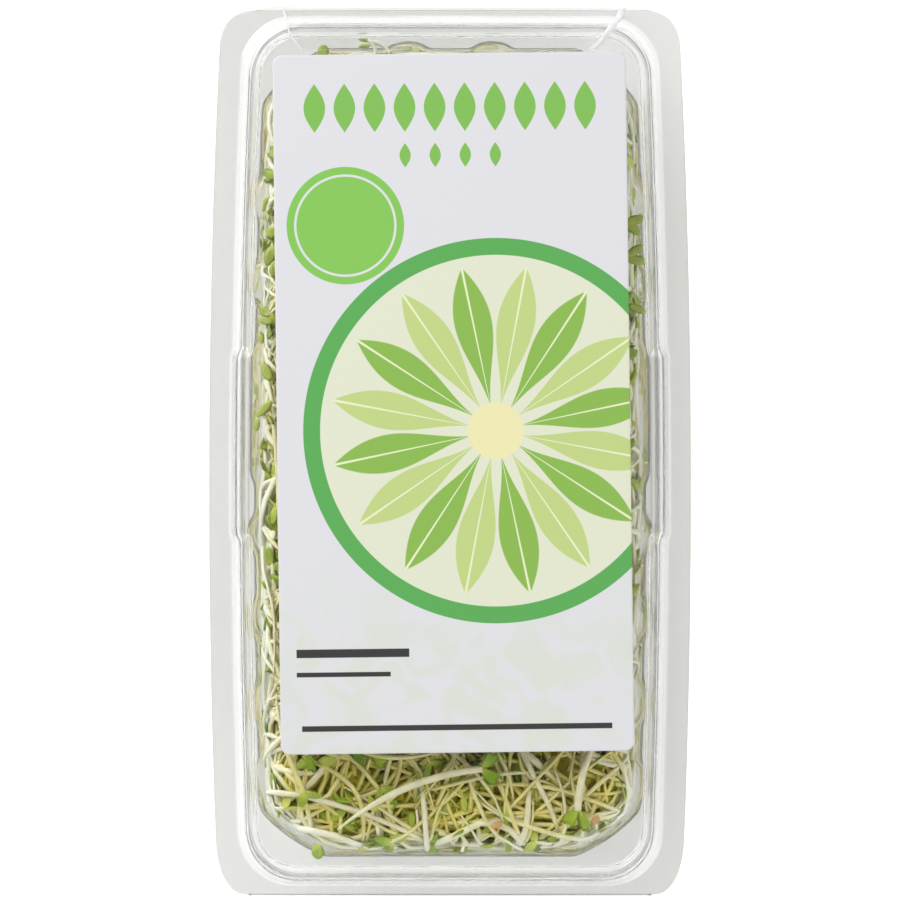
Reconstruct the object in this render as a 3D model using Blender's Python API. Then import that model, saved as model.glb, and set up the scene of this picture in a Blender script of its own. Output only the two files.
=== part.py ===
"""A clear hinged punnet of alfalfa and broccoli sprouts with a paper label on its lid.

+Z is up and +Y points to the lid's opening lip. The origin is under the middle of the
pack, on the surface it stands on. Lengths are in metres.
"""

import math

import bmesh
import bpy
import numpy as np
from mathutils import Vector

MM = 0.001

# Driving dimensions of the pack
HALF_LENGTH = 94.8 * MM
HALF_WIDTH = 51.3 * MM
FLANGE_Z = 34.0 * MM
BAND_Z = 40.0 * MM
PANEL_Z = 42.0 * MM
SHEET = 0.5 * MM
CLEARANCE = 0.3 * MM
CORNER_STEPS = 5

# Outlines are (widest half width, distance of the front end, of the back end, height) in mm.
# Corners are (reach along X, reach along Y)
FLANGE_CORNERS = ((5.5 * MM, 8.0 * MM), (6.0 * MM, 12.0 * MM))

# The long sides bow out: they are widest at WIDEST_Y and draw in towards both ends
WIDEST_Y = -8.0 * MM
DRAW_IN = 1.9 * MM
BOW_REACH = 87.0 * MM

# Tray
TUB_TOP_HALF_WIDTH = 41.4 * MM
TUB_TOP_FRONT = 85.4 * MM
TUB_TOP_BACK = 86.4 * MM
TUB_DRAFT = 1.6 * MM
TUB_FILLET = 2.4 * MM
FRONT_CHAMFER = (12.4 * MM, 11.5 * MM)
BACK_CHAMFER = (13.4 * MM, 9.5 * MM)
LEDGE_Z = 29.6 * MM
TRAY_FRONT = 93.7
TRAY_BEAD = [(45.6, 91.7, 92.0, 33.85), (44.9, 91.0, 91.4, 36.05), (44.2, 90.3, 90.7, 36.05),
             (43.6, 89.7, 90.1, 29.6)]
TRAY_BEAD_CORNER = (11.0 * MM, 11.0 * MM)
CHAMFER_STRAIGHTNESS = 0.7
FLUTE_DEPTH = 1.5 * MM
FLUTE_WIDTH = 8.0 * MM
FLUTE_YS = [y * MM for y in (-71.0, -54.0, -36.0, -18.0, 36.0, 54.0)]
FLUTE_XS = [-9.0 * MM, 9.0 * MM]
RECESS_Y = 8.0 * MM
RECESS_LENGTH = 30.0 * MM

# Lid
LID_FRONT = 93.3
LID_WALL_FOOT = (46.5, 92.6, 92.9)
LID_WALL_TOP = (44.7, 90.4, 91.7)
LID_BAND_INNER = (43.2, 88.9, 89.6)
LID_PANEL_EDGE = (42.5, 88.1, 88.8)
FOOT_CORNER = (12.0 * MM, 12.0 * MM)
BAND_CORNER = (11.0 * MM, 11.0 * MM)
INNER_CORNER = (9.3 * MM, 9.3 * MM)
PANEL_CORNER = (8.5 * MM, 8.5 * MM)
BLOCK_Y = 1.0 * MM
BLOCK_X = 38.0 * MM
BLOCK_LENGTH = 41.0 * MM
BLOCK_SWELL = 1.0 * MM
BLOCK_RAMP = 1.6 * MM
FOOT_SWELL = 0.4 * MM
LIP_REACH = 1.5 * MM
LIP_XS = [x * MM for x in (-43.5, -41.0, -38.0, -35.0, -32.0, 33.5, 37.0, 40.0, 42.0, 43.5)]
LIP_SHARES = [0.0, 0.35, 0.95, 1.0, 0.6, 0.6, 0.8, 1.0, 0.35, 0.0]

# Label and seal strip
LABEL_WIDTH = 75.2 * MM
LABEL_LENGTH = 148.8 * MM
LABEL_CORNER = 2.0 * MM
LABEL_THICKNESS = 0.4 * MM
LABEL_CENTRE = Vector((0.7 * MM, 10.0 * MM))
LABEL_TURN = math.radians(0.7)
FILM = 0.3 * MM
FILM_LEFT_XS = [x * MM for x in (-31.6, -34.2, -34.8, -35.4, -35.6)]
FILM_RIGHT_XS = [x * MM for x in (31.2, 34.2, 35.8, 37.2, 37.6)]

# Living hinge: its axis runs along X, just outside the back edges of both flanges
HINGE_Y = -HALF_LENGTH - 0.5 * CLEARANCE

# Sprouts
SEED = 1
FLOOR_Z = SHEET
PILE_TOP = 36.6 * MM
PILE_EDGE_DROP = 3.4 * MM
PILE_CLEARANCE = 0.4 * MM
LEAF_DEPTH = 1.0 * MM
CORE_DEPTH = 5.6 * MM
CORE_CUTS = 8
FURROW = 1.6 * MM
HEADING_SPREAD = np.array([0.45, 1.0, 0.5])
ARCHED_STEMS = 56
LEAFY_STEMS = 68
STEM_SIDES = 3
STEM_LENGTHS = (24.0 * MM, 42.0 * MM)
STEM_RADII = (0.65 * MM, 0.95 * MM)
LEAFY_DEPTHS = (1.6 * MM, 2.8 * MM)
ARCHED_DEPTHS = (1.2 * MM, 4.2 * MM)
SUNK_DEPTH = CORE_DEPTH + FURROW + 1.4 * MM
LEAF_REACH = 2.2 * MM
TRIES = 700
STEM_POINTS = 5
LEAF_THICKNESS = 0.4 * MM
HUSK_SIZE = (1.2 * MM, 0.75 * MM, 0.5 * MM)

# Whole sprouts that lie loose on the pile: kind, root end (x, y), heading from +X in
# degrees, length and bend in degrees over that length
LOOSE_LIFT = 1.2 * MM
LOOSE_SPROUTS = [
    ("broccoli", (-24.0, -81.0), 40, 34, -34),
    ("broccoli", (33.0, -58.0), -122, 20, 30),
    ("alfalfa", (-37.0, -52.0), -86, 22, 24),
    ("alfalfa", (-2.0, -64.0), 200, 22, -50),
    ("broccoli", (36.0, -38.0), 86, 38, 8),
    ("alfalfa", (-36.5, -24.0), 88, 30, 8),
    ("broccoli", (-12.0, 30.0), 70, 44, -60),
    ("alfalfa", (8.0, -30.0), 112, 34, 60),
]
# Husks: place (x, y) and turn in degrees
SEED_COATS = [((31.0, -79.0), 58), ((10.0, -80.0), 20)]


def clear_scene():
    for obj in list(bpy.data.objects):
        bpy.data.objects.remove(obj, do_unlink=True)


def material(name, colour, roughness, alpha=1.0):
    made = bpy.data.materials.new(name)
    made.use_nodes = True
    shader = made.node_tree.nodes["Principled BSDF"]
    shader.inputs["Base Color"].default_value = (*colour, 1.0)
    shader.inputs["Roughness"].default_value = roughness
    shader.inputs["Alpha"].default_value = alpha
    made.diffuse_color = (*colour, alpha)
    return made


def draw_in(y):
    """How far a long side lies inside its widest line at y."""
    return DRAW_IN * ((np.asarray(y) - WIDEST_Y) / BOW_REACH) ** 2


def bump(t, centre, half_width, ramp):
    """1 within half_width of centre, falling smoothly to 0 over ramp."""
    away = (np.abs(np.asarray(t) - centre) - half_width) / ramp
    return 0.5 + 0.5 * np.cos(np.pi * np.clip(away + 0.5, 0.0, 1.0))


def corner_points(centre, reach, quarter, straightness):
    """A corner from one side to the next: an elliptical arc pulled towards its chord."""
    angles = np.radians(90.0 * (quarter + np.linspace(0.0, 1.0, CORNER_STEPS)))
    arc = np.stack([np.cos(angles), np.sin(angles)], axis=1)
    share = np.linspace(0.0, 1.0, CORNER_STEPS)[:, None]
    chord = arc[0] * (1 - share) + arc[-1] * share
    mixed = arc * (1 - straightness) + chord * straightness
    return np.array(centre) + mixed * np.array(reach)


def ring(half_width, front, back, front_corner, back_corner, long_ys, front_xs, back_xs,
         straightness=0.0, side_extra=None, front_extra=None):
    """One closed outline seen from above, anticlockwise from the right side's back end.

    half_width is the widest half width, front and back the distances of both ends from
    the middle, and each corner is (reach along X, reach along Y).
    """
    long_ys = np.asarray(long_ys)
    front_xs = np.asarray(front_xs)
    back_xs = np.asarray(back_xs)
    extra = side_extra(long_ys) if side_extra is not None else 0.0
    side = half_width - draw_in(long_ys) + extra
    lip = front_extra(front_xs) if front_extra is not None else 0.0
    at_front = half_width - float(draw_in(front - front_corner[1])) - front_corner[0]
    at_back = half_width - float(draw_in(-back + back_corner[1])) - back_corner[0]
    front_y = front - front_corner[1]
    back_y = -back + back_corner[1]
    return np.concatenate([
        np.stack([side, long_ys], axis=1),
        corner_points((at_front, front_y), front_corner, 0, straightness),
        np.stack([front_xs[::-1], front + (lip + 0.0 * front_xs)[::-1]], axis=1),
        corner_points((-at_front, front_y), front_corner, 1, straightness),
        np.stack([-side[::-1], long_ys[::-1]], axis=1),
        corner_points((-at_back, back_y), back_corner, 2, straightness),
        np.stack([back_xs, -back + 0.0 * back_xs], axis=1),
        corner_points((at_back, back_y), back_corner, 3, straightness),
    ])


def lofted_sheet(name, rings, thickness, finish):
    """A sheet through rings of equal point count, closed by a face across the last one.

    Its upper side is the modelled one, and Solidify adds the thickness beneath it.
    """
    bm = bmesh.new()
    loops = []
    for points in rings:
        loops.append([bm.verts.new(p) for p in points])
    for low, high in zip(loops, loops[1:]):
        for i in range(len(low)):
            j = (i + 1) % len(low)
            bm.faces.new((low[i], low[j], high[j], high[i]))
    bm.faces.new(loops[-1])
    mesh = bpy.data.meshes.new(name)
    bm.to_mesh(mesh)
    bm.free()
    mesh.shade_smooth()
    mesh.set_sharp_from_angle(angle=math.radians(35))
    mesh.materials.append(finish)
    obj = bpy.data.objects.new(name, mesh)
    bpy.context.scene.collection.objects.link(obj)
    solidify = obj.modifiers.new("Sheet", "SOLIDIFY")
    solidify.thickness = thickness
    solidify.offset = -1.0
    return obj


def with_height(outline, z):
    """An outline's points with their height, which is one number or one for each."""
    return np.column_stack([outline, np.broadcast_to(z, len(outline))])


def flute_stations():
    """Points along a long side and the front, close together where a flute bulges out."""
    steps = np.array([-0.5, -0.33, 0.0, 0.33, 0.5]) * FLUTE_WIDTH
    ys = [c + s for c in FLUTE_YS for s in steps]
    half = 0.5 * RECESS_LENGTH
    ys += [RECESS_Y + k * half for k in (-1.0, -0.9, 0.0, 0.9, 1.0)]
    xs = [c + s for c in FLUTE_XS for s in steps]
    return sorted(ys), sorted(xs)


def flute(t, centres):
    """A half-round bulge at each centre, rising from 0 to 1."""
    away = np.abs(np.subtract.outer(np.asarray(t), np.asarray(centres))).min(axis=1)
    inside = np.clip(1.0 - (2.0 * away / FLUTE_WIDTH) ** 2, 0.0, 1.0)
    return np.sqrt(inside)


def make_tray(finish):
    """Flange, locking bead, ledge, fluted walls and flat floor, from the outside in."""
    long_ys, front_xs = flute_stations()
    back_xs = [-20 * MM, 0.0, 20 * MM]
    top_z = FLANGE_Z - 0.5 * CLEARANCE
    plain = {"straightness": CHAMFER_STRAIGHTNESS}

    def bulge(y):
        recess = 0.6 * bump(y, RECESS_Y, 0.475 * RECESS_LENGTH, 0.05 * RECESS_LENGTH)
        return FLUTE_DEPTH * np.maximum(flute(y, FLUTE_YS), recess)

    def front_bulge(x):
        return FLUTE_DEPTH * flute(x, FLUTE_XS)

    def outline(half_width, front, back, corner, **options):
        return ring(half_width, front, back, corner[0], corner[1], long_ys, front_xs,
                    back_xs, **options)

    fluted = {**plain, "side_extra": bulge, "front_extra": front_bulge}

    def wall(inset, z, **options):
        """An outline of the tub's wall or floor, inset from the wall's top edge."""
        front_corner, back_corner = (
            tuple(reach - min(inset, TUB_FILLET) for reach in corner)
            for corner in (FRONT_CHAMFER, BACK_CHAMFER))
        points = outline(TUB_TOP_HALF_WIDTH - inset, TUB_TOP_FRONT - inset,
                         TUB_TOP_BACK - inset, (front_corner, back_corner), **options)
        return with_height(points, z)

    edge = outline(HALF_WIDTH, TRAY_FRONT * MM, HALF_LENGTH, FLANGE_CORNERS)
    rings = [with_height(edge, top_z)]
    for half_width, front, back, z in TRAY_BEAD:
        bead = outline(half_width * MM, front * MM, back * MM, (TRAY_BEAD_CORNER,) * 2)
        rings.append(with_height(bead, z * MM))
    low = 0.95 * TUB_DRAFT
    rings += [
        wall(0.0, LEDGE_Z, **fluted),
        wall(low, FLOOR_Z + TUB_FILLET, **fluted),
        wall(low + 0.3 * TUB_FILLET, FLOOR_Z + 0.3 * TUB_FILLET, **plain),
        wall(low + TUB_FILLET, FLOOR_Z, **plain),
    ]
    return lofted_sheet("tray", rings, SHEET, finish)


def block_at(y):
    """1 along the locking block on a long side of the lid, 0 past its ends."""
    return bump(y, BLOCK_Y, 0.5 * (BLOCK_LENGTH - BLOCK_RAMP), BLOCK_RAMP)


def lip(x):
    """How far the lid's front edge reaches past its corners: two thumb tabs with a lip
    between them."""
    return LIP_REACH * np.interp(x, LIP_XS, LIP_SHARES)


def make_lid(finish):
    """Flange with its lip, wall, band, step and flat panel, from the outside in."""
    block_ys = [BLOCK_Y + side * (0.5 * BLOCK_LENGTH + k * BLOCK_RAMP)
                for side in (-1, 1) for k in (-1.0, -0.5, 0.0)]
    plain_ys = [y * MM for y in (-74, -58, -42, -28, -10, 12, 30, 44, 58, 72)]
    long_ys = sorted(plain_ys + block_ys)
    lip_xs = [*LIP_XS[1:5], -16 * MM, 0.0, 16 * MM, *LIP_XS[5:9]]
    back_xs = [-25 * MM, 0.0, 25 * MM]

    def inner_outline(size, corner, swell=0.0):
        """An outline inside the flange, swollen outwards along the locking blocks."""
        half_width, front, back = (v * MM for v in size)
        reach = half_width - float(draw_in(front)) - corner[0] - MM
        front_xs = np.linspace(-reach, reach, len(lip_xs))
        return ring(half_width, front, back, corner, corner, long_ys, front_xs, back_xs,
                    side_extra=lambda y: swell * block_at(y))

    def band_height(points):
        """The band's height, raised to the panel's along the locking blocks."""
        on_side = np.abs(points[:, 0]) > BLOCK_X
        return BAND_Z + (PANEL_Z - BAND_Z) * block_at(points[:, 1]) * on_side

    flange_z = FLANGE_Z + 0.5 * CLEARANCE + SHEET
    edge = ring(HALF_WIDTH, LID_FRONT * MM, HALF_LENGTH, *FLANGE_CORNERS, long_ys, lip_xs,
                back_xs, front_extra=lip)
    wall_foot = inner_outline(LID_WALL_FOOT, FOOT_CORNER, swell=FOOT_SWELL)
    wall_top = inner_outline(LID_WALL_TOP, BAND_CORNER, swell=BLOCK_SWELL)
    band_inner = inner_outline(LID_BAND_INNER, INNER_CORNER)
    panel_edge = inner_outline(LID_PANEL_EDGE, PANEL_CORNER)
    rings = [
        with_height(edge, flange_z),
        with_height(wall_foot, flange_z),
        with_height(wall_top, band_height(wall_top)),
        with_height(band_inner, band_height(band_inner)),
        with_height(panel_edge, PANEL_Z),
    ]
    return lofted_sheet("lid", rings, SHEET, finish)


def make_label(finish):
    """A thin sheet with round corners, turned a little on the lid's panel."""
    bm = bmesh.new()
    half = Vector((0.5 * LABEL_WIDTH, 0.5 * LABEL_LENGTH))
    outline = []
    for quarter, (sx, sy) in enumerate(((1, 1), (-1, 1), (-1, -1), (1, -1))):
        centre = Vector((sx * (half.x - LABEL_CORNER), sy * (half.y - LABEL_CORNER)))
        for step in range(CORNER_STEPS):
            angle = math.radians(90.0 * (quarter + step / (CORNER_STEPS - 1)))
            reach = Vector((math.cos(angle), math.sin(angle))) * LABEL_CORNER
            outline.append(bm.verts.new((*(centre + reach), 0.0)))
    face = bm.faces.new(outline)
    lifted = bmesh.ops.extrude_face_region(bm, geom=[face])
    tops = [v for v in lifted["geom"] if isinstance(v, bmesh.types.BMVert)]
    bmesh.ops.translate(bm, verts=tops, vec=(0, 0, LABEL_THICKNESS))
    bmesh.ops.recalc_face_normals(bm, faces=bm.faces)
    mesh = bpy.data.meshes.new("label")
    bm.to_mesh(mesh)
    bm.free()
    mesh.materials.append(finish)
    obj = bpy.data.objects.new("label", mesh)
    obj.location = (*LABEL_CENTRE, PANEL_Z + CLEARANCE)
    obj.rotation_euler = (0, 0, LABEL_TURN)
    bpy.context.scene.collection.objects.link(obj)
    return obj


def make_seal_strip(finish):
    """Clear film from the label's front edge, over the lid's rim and down to its lip."""
    label_front = LABEL_CENTRE.y + 0.5 * LABEL_LENGTH
    start = label_front + 2.6 * CLEARANCE
    gap = CLEARANCE
    flange_z = FLANGE_Z + 0.5 * CLEARANCE + SHEET
    route = [
        (start, PANEL_Z + gap),
        (88.5 * MM, PANEL_Z + gap),
        (90.9 * MM, BAND_Z + gap),
        (93.0 * MM, flange_z + 1.5 * gap),
        (94.2 * MM, flange_z + gap),
    ]
    bm = bmesh.new()
    rows = []
    for (y, z), x0, x1 in zip(route, FILM_LEFT_XS, FILM_RIGHT_XS):
        rows.append([bm.verts.new((x, y, z)) for x in (x0, x1)])
    for near, far in zip(rows, rows[1:]):
        bm.faces.new((near[0], near[1], far[1], far[0]))
    mesh = bpy.data.meshes.new("seal_strip")
    bm.to_mesh(mesh)
    bm.free()
    mesh.materials.append(finish)
    obj = bpy.data.objects.new("seal_strip", mesh)
    bpy.context.scene.collection.objects.link(obj)
    solidify = obj.modifiers.new("Film", "SOLIDIFY")
    solidify.thickness = FILM
    solidify.offset = 1.0
    solidify.use_even_offset = True
    return obj


def pile_top(x, y):
    """Height of the pile's top: flat in the middle, lower towards the walls."""
    edge = np.maximum(np.abs(x) / TUB_TOP_HALF_WIDTH, np.abs(y) / TUB_TOP_FRONT)
    return PILE_TOP - PILE_EDGE_DROP * np.clip(edge, 0.0, 1.0) ** 6


def room_distances(points):
    """How deep each point lies inside the tub: its distance from the floor, the pile's
    top, the four walls and the four chamfered corners, one column for each."""
    x, y, z = np.abs(points[..., 0]), points[..., 1], points[..., 2]
    rise = np.clip((z - FLOOR_Z) / (LEDGE_Z - FLOOR_Z), 0.0, 1.0)
    draft = TUB_DRAFT * (1.0 - rise)
    half = TUB_TOP_HALF_WIDTH - draw_in(y) - draft
    front = TUB_TOP_FRONT - draft
    back = TUB_TOP_BACK - draft
    columns = [z - FLOOR_Z, pile_top(x, y) - z, half - x, front - y, back + y]
    for end, (cx, cy) in ((1, FRONT_CHAMFER), (-1, BACK_CHAMFER)):
        reach = front if end > 0 else back
        across = 1.0 - (x - (half - cx)) / cx - (end * y - (reach - cy)) / cy
        columns.append(across / math.hypot(1 / cx, 1 / cy))
    return np.stack(columns, axis=-1)


def depth(points, softness=1.2 * MM):
    """Smooth least of the distances: a rounded room, so that stems bend round its edges."""
    d = room_distances(points) / softness
    least = d.min(axis=-1, keepdims=True)
    return softness * (least[..., 0] - np.log(np.exp(least - d).sum(axis=-1)))


def inward(points, step=0.05 * MM):
    """Unit direction in which the depth grows."""
    slopes = [depth(points + step * axis) - depth(points - step * axis)
              for axis in np.eye(3)]
    grad = np.stack(slopes, axis=-1)
    return grad / np.linalg.norm(grad, axis=-1, keepdims=True)


def to_depth(points, wanted, rounds=6):
    """Moves each point along the depth's slope until it lies wanted deep."""
    for _ in range(rounds):
        points = points + inward(points) * (wanted - depth(points))[..., None]
    return points


def walk(rng, starts, lengths, depths, turning):
    """Paths over the pile: each step keeps to its wanted depth and turns a little.

    starts is (n, 3), depths (n, points), and the result (n, points, 3).
    """
    n, count = depths.shape
    heading = rng.normal(size=(n, 3)) * HEADING_SPREAD
    place = to_depth(starts, depths[:, 0])
    turn = rng.normal(size=(n, 1)) * turning
    drift = rng.normal(size=(n, count, 1)) * 0.5 * turning
    path = [place]
    for k in range(1, count):
        normal = inward(place)
        heading = heading - normal * (heading * normal).sum(-1, keepdims=True)
        heading = heading / np.linalg.norm(heading, axis=-1, keepdims=True)
        angle = turn + drift[:, k]
        side = np.cross(normal, heading)
        heading = heading * np.cos(angle) + side * np.sin(angle)
        place = place + heading * (lengths / (count - 1))[:, None]
        place = to_depth(place, depths[:, k], rounds=3)
        path.append(place)
    return np.stack(path, axis=1)


def random_places(rng, count):
    """Points spread over the outside of the pile, fewer of them on the floor."""
    half = np.array([TUB_TOP_HALF_WIDTH, TUB_TOP_FRONT, 0.5 * PILE_TOP])
    sides = np.array([8.0, 8.0, 7.0, 7.0, 16.0, 9.0])
    side = rng.choice(6, size=count, p=sides / sides.sum())
    places = rng.uniform(-0.93, 0.93, size=(count, 3))
    axis = np.array([0, 0, 1, 1, 2, 2])[side]
    sign = np.array([-1, 1, -1, 1, 1, -1])[side]
    places[np.arange(count), axis] = 0.9 * sign
    return places * half + np.array([0.0, 0.0, 0.5 * PILE_TOP])


def tube(path, radii, sides, normals):
    """A closed tube along a path, as (points, faces), pointed a little at both ends."""
    along = np.gradient(path, axis=0)
    along /= np.linalg.norm(along, axis=1, keepdims=True)
    across = np.cross(normals, along)
    across /= np.linalg.norm(across, axis=1, keepdims=True)
    up = np.cross(along, across)
    angles = 2 * np.pi * np.arange(sides) / sides
    circle = (across[:, None] * np.cos(angles)[None, :, None]
              + up[:, None] * np.sin(angles)[None, :, None])
    points = (path[:, None] + circle * radii[:, None, None]).reshape(-1, 3)
    count = len(path)
    faces = []
    for k in range(count - 1):
        for i in range(sides):
            j = (i + 1) % sides
            a, b = k * sides, (k + 1) * sides
            faces.append((a + i, a + j, b + j, b + i))
    faces.append(tuple(range(sides))[::-1])
    faces.append(tuple(range((count - 1) * sides, count * sides)))
    return points, faces


def seed_leaf(base, heading, normal, length, width, notched):
    """One seed leaf as a thin lens: an outline between two raised middles.

    An alfalfa leaf is an oval, a broccoli leaf is broader with a notch in its tip.
    """
    side = np.cross(normal, heading)
    if notched:
        along = np.array([0.0, 0.35, 0.75, 1.0, 0.84, 1.0, 0.75, 0.35])
        across = np.array([0.0, 0.42, 0.62, 0.28, 0.0, -0.28, -0.62, -0.42])
    else:
        along = np.array([0.0, 0.35, 0.78, 1.0, 0.78, 0.35])
        across = np.array([0.0, 0.46, 0.4, 0.0, -0.4, -0.46])
    outline = (base + heading * (along * length)[:, None] + side * (across * width)[:, None])
    middle = base + heading * (0.55 * length)
    lift = normal * LEAF_THICKNESS
    points = np.vstack([outline, middle + lift, middle - lift])
    count = len(outline)
    faces = []
    for i in range(count):
        j = (i + 1) % count
        faces.append((i, j, count))
        faces.append((j, i, count + 1))
    return points, faces


def mesh_object(name, points, faces, collection):
    mesh = bpy.data.meshes.new(name)
    mesh.from_pydata([tuple(p) for p in points], [], faces)
    bm = bmesh.new()
    bm.from_mesh(mesh)
    bmesh.ops.recalc_face_normals(bm, faces=bm.faces)
    bm.to_mesh(mesh)
    bm.free()
    obj = bpy.data.objects.new(name, mesh)
    collection.objects.link(obj)
    return obj


def core_shape(rng):
    """The pile's furrowed core: a box grid pushed out to CORE_DEPTH, with shallow waves."""
    bm = bmesh.new()
    bmesh.ops.create_cube(bm, size=2.0)
    bmesh.ops.subdivide_edges(bm, edges=bm.edges, cuts=CORE_CUTS, use_grid_fill=True)
    points = np.array([v.co for v in bm.verts])
    faces = [tuple(v.index for v in f.verts) for f in bm.faces]
    bm.free()
    half = np.array([TUB_TOP_HALF_WIDTH, TUB_TOP_FRONT, 0.5 * PILE_TOP])
    places = points * half * 0.86 + np.array([0.0, 0.0, 0.5 * PILE_TOP])
    furrow = rng.uniform(-1.0, 1.0, len(places))
    return to_depth(places, CORE_DEPTH + FURROW * furrow, rounds=12), faces


def leaf_pair(rng, tip, heading, normal, notched, scale):
    """Two seed leaves opening from a stem's tip, in the plane of the pile's surface."""
    leaves = []
    opening = math.radians(rng.uniform(46, 78))
    side = np.cross(normal, heading)
    for turn in (-opening, opening):
        way = heading * math.cos(turn) + side * math.sin(turn)
        length = rng.uniform(3.4, 4.4) * MM * scale
        width = rng.uniform(2.1, 2.6) * MM * scale
        leaves.append(seed_leaf(tip - way * 0.2 * MM, way, normal, length, width, notched))
    return leaves


def stem_depths(rng, count, leafy):
    """How deep each stem runs along its length: out of the core and over the pile. An
    arched stem dips back into the core, and a leafy one ends high up."""
    share = np.linspace(0.0, 1.0, STEM_POINTS)
    rise = np.minimum(1.0, 2.4 * share) if leafy else np.sin(np.pi * share)
    high = rng.uniform(*(LEAFY_DEPTHS if leafy else ARCHED_DEPTHS), size=(count, 1))
    tip = LEAF_DEPTH if leafy else high
    return SUNK_DEPTH + (high - SUNK_DEPTH) * rise ** 0.7 + (tip - high) * share ** 4


def fine_points(paths, radii, leafy):
    """Close points along each stem, and how far each reaches: nothing inside the core, and
    as far as its leaves at a leafy tip."""
    share = np.linspace(0.0, 1.0, STEM_POINTS)
    fine = np.linspace(0.0, 1.0, 4 * STEM_POINTS)
    points = np.stack([[np.interp(fine, share, path[:, k]) for k in range(3)]
                       for path in paths]).transpose(0, 2, 1)
    reach = np.broadcast_to(radii[:, None], points.shape[:2]).copy()
    reach[leafy, -2:] = LEAF_REACH
    reach[depth(points) > CORE_DEPTH] = -1.0
    return points, reach


def chosen_stems(rng):
    """Paths, radii and whether leafy, of stems that hardly cross: from many tries, each is
    kept if it touches none that is kept already."""
    paths, leafy = [], []
    for has_leaves in (True, False):
        depths = stem_depths(rng, TRIES, has_leaves)
        lengths = rng.uniform(*STEM_LENGTHS, size=TRIES)
        paths.append(walk(rng, random_places(rng, TRIES), lengths, depths, 0.16))
        leafy += [has_leaves] * TRIES
    paths = np.concatenate(paths)
    leafy = np.array(leafy)
    radii = rng.uniform(*STEM_RADII, size=len(paths))
    points, reach = fine_points(paths, radii, leafy)
    kept = []
    left = {True: LEAFY_STEMS, False: ARCHED_STEMS}
    for i in rng.permutation(len(paths)):
        if not left[bool(leafy[i])]:
            continue
        away = np.linalg.norm(points[kept][:, :, None] - points[i], axis=-1)
        if not (away < reach[kept][:, :, None] + reach[i]).any():
            kept.append(i)
            left[bool(leafy[i])] -= 1
    return paths[kept], radii[kept], leafy[kept]


def stem_shapes(rng):
    """Every stem and seed leaf of the pile, each as (points, faces)."""
    shapes = []
    for number, (path, radius, has_leaves) in enumerate(zip(*chosen_stems(rng))):
        normals = -inward(path)
        radii = radius * np.linspace(1.0, 0.75, STEM_POINTS)
        shapes.append(tube(path, radii, STEM_SIDES, normals))
        if has_leaves:
            normal = normals[-1]
            heading = path[-1] - path[-2]
            heading = heading - normal * (heading @ normal)
            heading /= np.linalg.norm(heading)
            shapes += leaf_pair(rng, path[-1], heading, normal, number % 3 == 0, 1.0)
    return [(held_in(points), faces) for points, faces in shapes]


def held_in(points):
    """Points moved inwards where they come nearer than PILE_CLEARANCE to the tub."""
    short = np.maximum(0.0, PILE_CLEARANCE - depth(points))
    return points + inward(points) * short[:, None]


def join(name, core, shapes, finish):
    """Boolean union of the core with every shape, kept as one closed body."""
    parts = bpy.data.collections.new(name + "_parts")
    bpy.context.scene.collection.children.link(parts)
    base = mesh_object(name, *core, bpy.context.scene.collection)
    for number, (points, faces) in enumerate(shapes):
        mesh_object(f"{name}_{number}", points, faces, parts)
    union = base.modifiers.new("Join", "BOOLEAN")
    union.operation = "UNION"
    union.solver = "MANIFOLD"
    union.operand_type = "COLLECTION"
    union.collection = parts
    graph = bpy.context.evaluated_depsgraph_get()
    mesh = bpy.data.meshes.new_from_object(base.evaluated_get(graph))
    base.modifiers.clear()
    for obj in list(parts.objects):
        bpy.data.objects.remove(obj, do_unlink=True)
    bpy.data.collections.remove(parts)
    keep_largest_body(mesh)
    mesh.name = name
    mesh.materials.clear()
    mesh.materials.append(finish)
    base.data = mesh
    return base


def keep_largest_body(mesh):
    """Drops loose scraps and sealed pockets, so that one closed skin is left."""
    bm = bmesh.new()
    bm.from_mesh(mesh)
    seen = set()
    bodies = []
    for start in bm.verts:
        if start in seen:
            continue
        body = {start}
        front = [start]
        while front:
            vert = front.pop()
            for edge in vert.link_edges:
                other = edge.other_vert(vert)
                if other not in body:
                    body.add(other)
                    front.append(other)
        seen |= body
        bodies.append(body)
    bodies.sort(key=len)
    for body in bodies[:-1]:
        bmesh.ops.delete(bm, geom=list(body), context="VERTS")
    bm.to_mesh(mesh)
    bm.free()


def make_pile(finish):
    rng = np.random.default_rng(SEED)
    return join("sprout_pile", core_shape(rng), stem_shapes(rng), finish)


def loose_path(root, heading, length, bend):
    """A bent line over the pile's top, as STEM_POINTS points with their height."""
    share = np.linspace(0.0, 1.0, STEM_POINTS + 1)
    middle = 0.5 * (share[1:] + share[:-1])
    angles = np.radians(heading + bend * middle)
    steps = np.stack([np.cos(angles), np.sin(angles)], axis=1) * length / STEM_POINTS
    flat = np.vstack([[0.0, 0.0], np.cumsum(steps, axis=0)]) + np.array(root)
    flat *= MM
    return np.column_stack([flat, pile_top(flat[:, 0], flat[:, 1]) + LOOSE_LIFT])


def make_loose_sprout(number, kind, root, heading, length, bend, finish):
    """One whole sprout: root tail, stem and two seed leaves."""
    path = loose_path(root, heading, length, bend)
    share = np.linspace(0.0, 1.0, len(path))
    broccoli = kind == "broccoli"
    thick = (0.8 if broccoli else 0.6) * MM
    radii = thick * np.clip(0.5 + 1.6 * share, 0.0, 1.0)
    up = np.tile([0.0, 0.0, 1.0], (len(path), 1))
    stem = tube(path, radii, 5, up)
    way = path[-1] - path[-2]
    way[2] = 0.0
    way /= np.linalg.norm(way)
    rng = np.random.default_rng(SEED + number)
    leaves = leaf_pair(rng, path[-1], way, up[0], broccoli, 1.25 if broccoli else 1.0)
    return join(f"{kind}_sprout_{number}", stem, leaves, finish)


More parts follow.
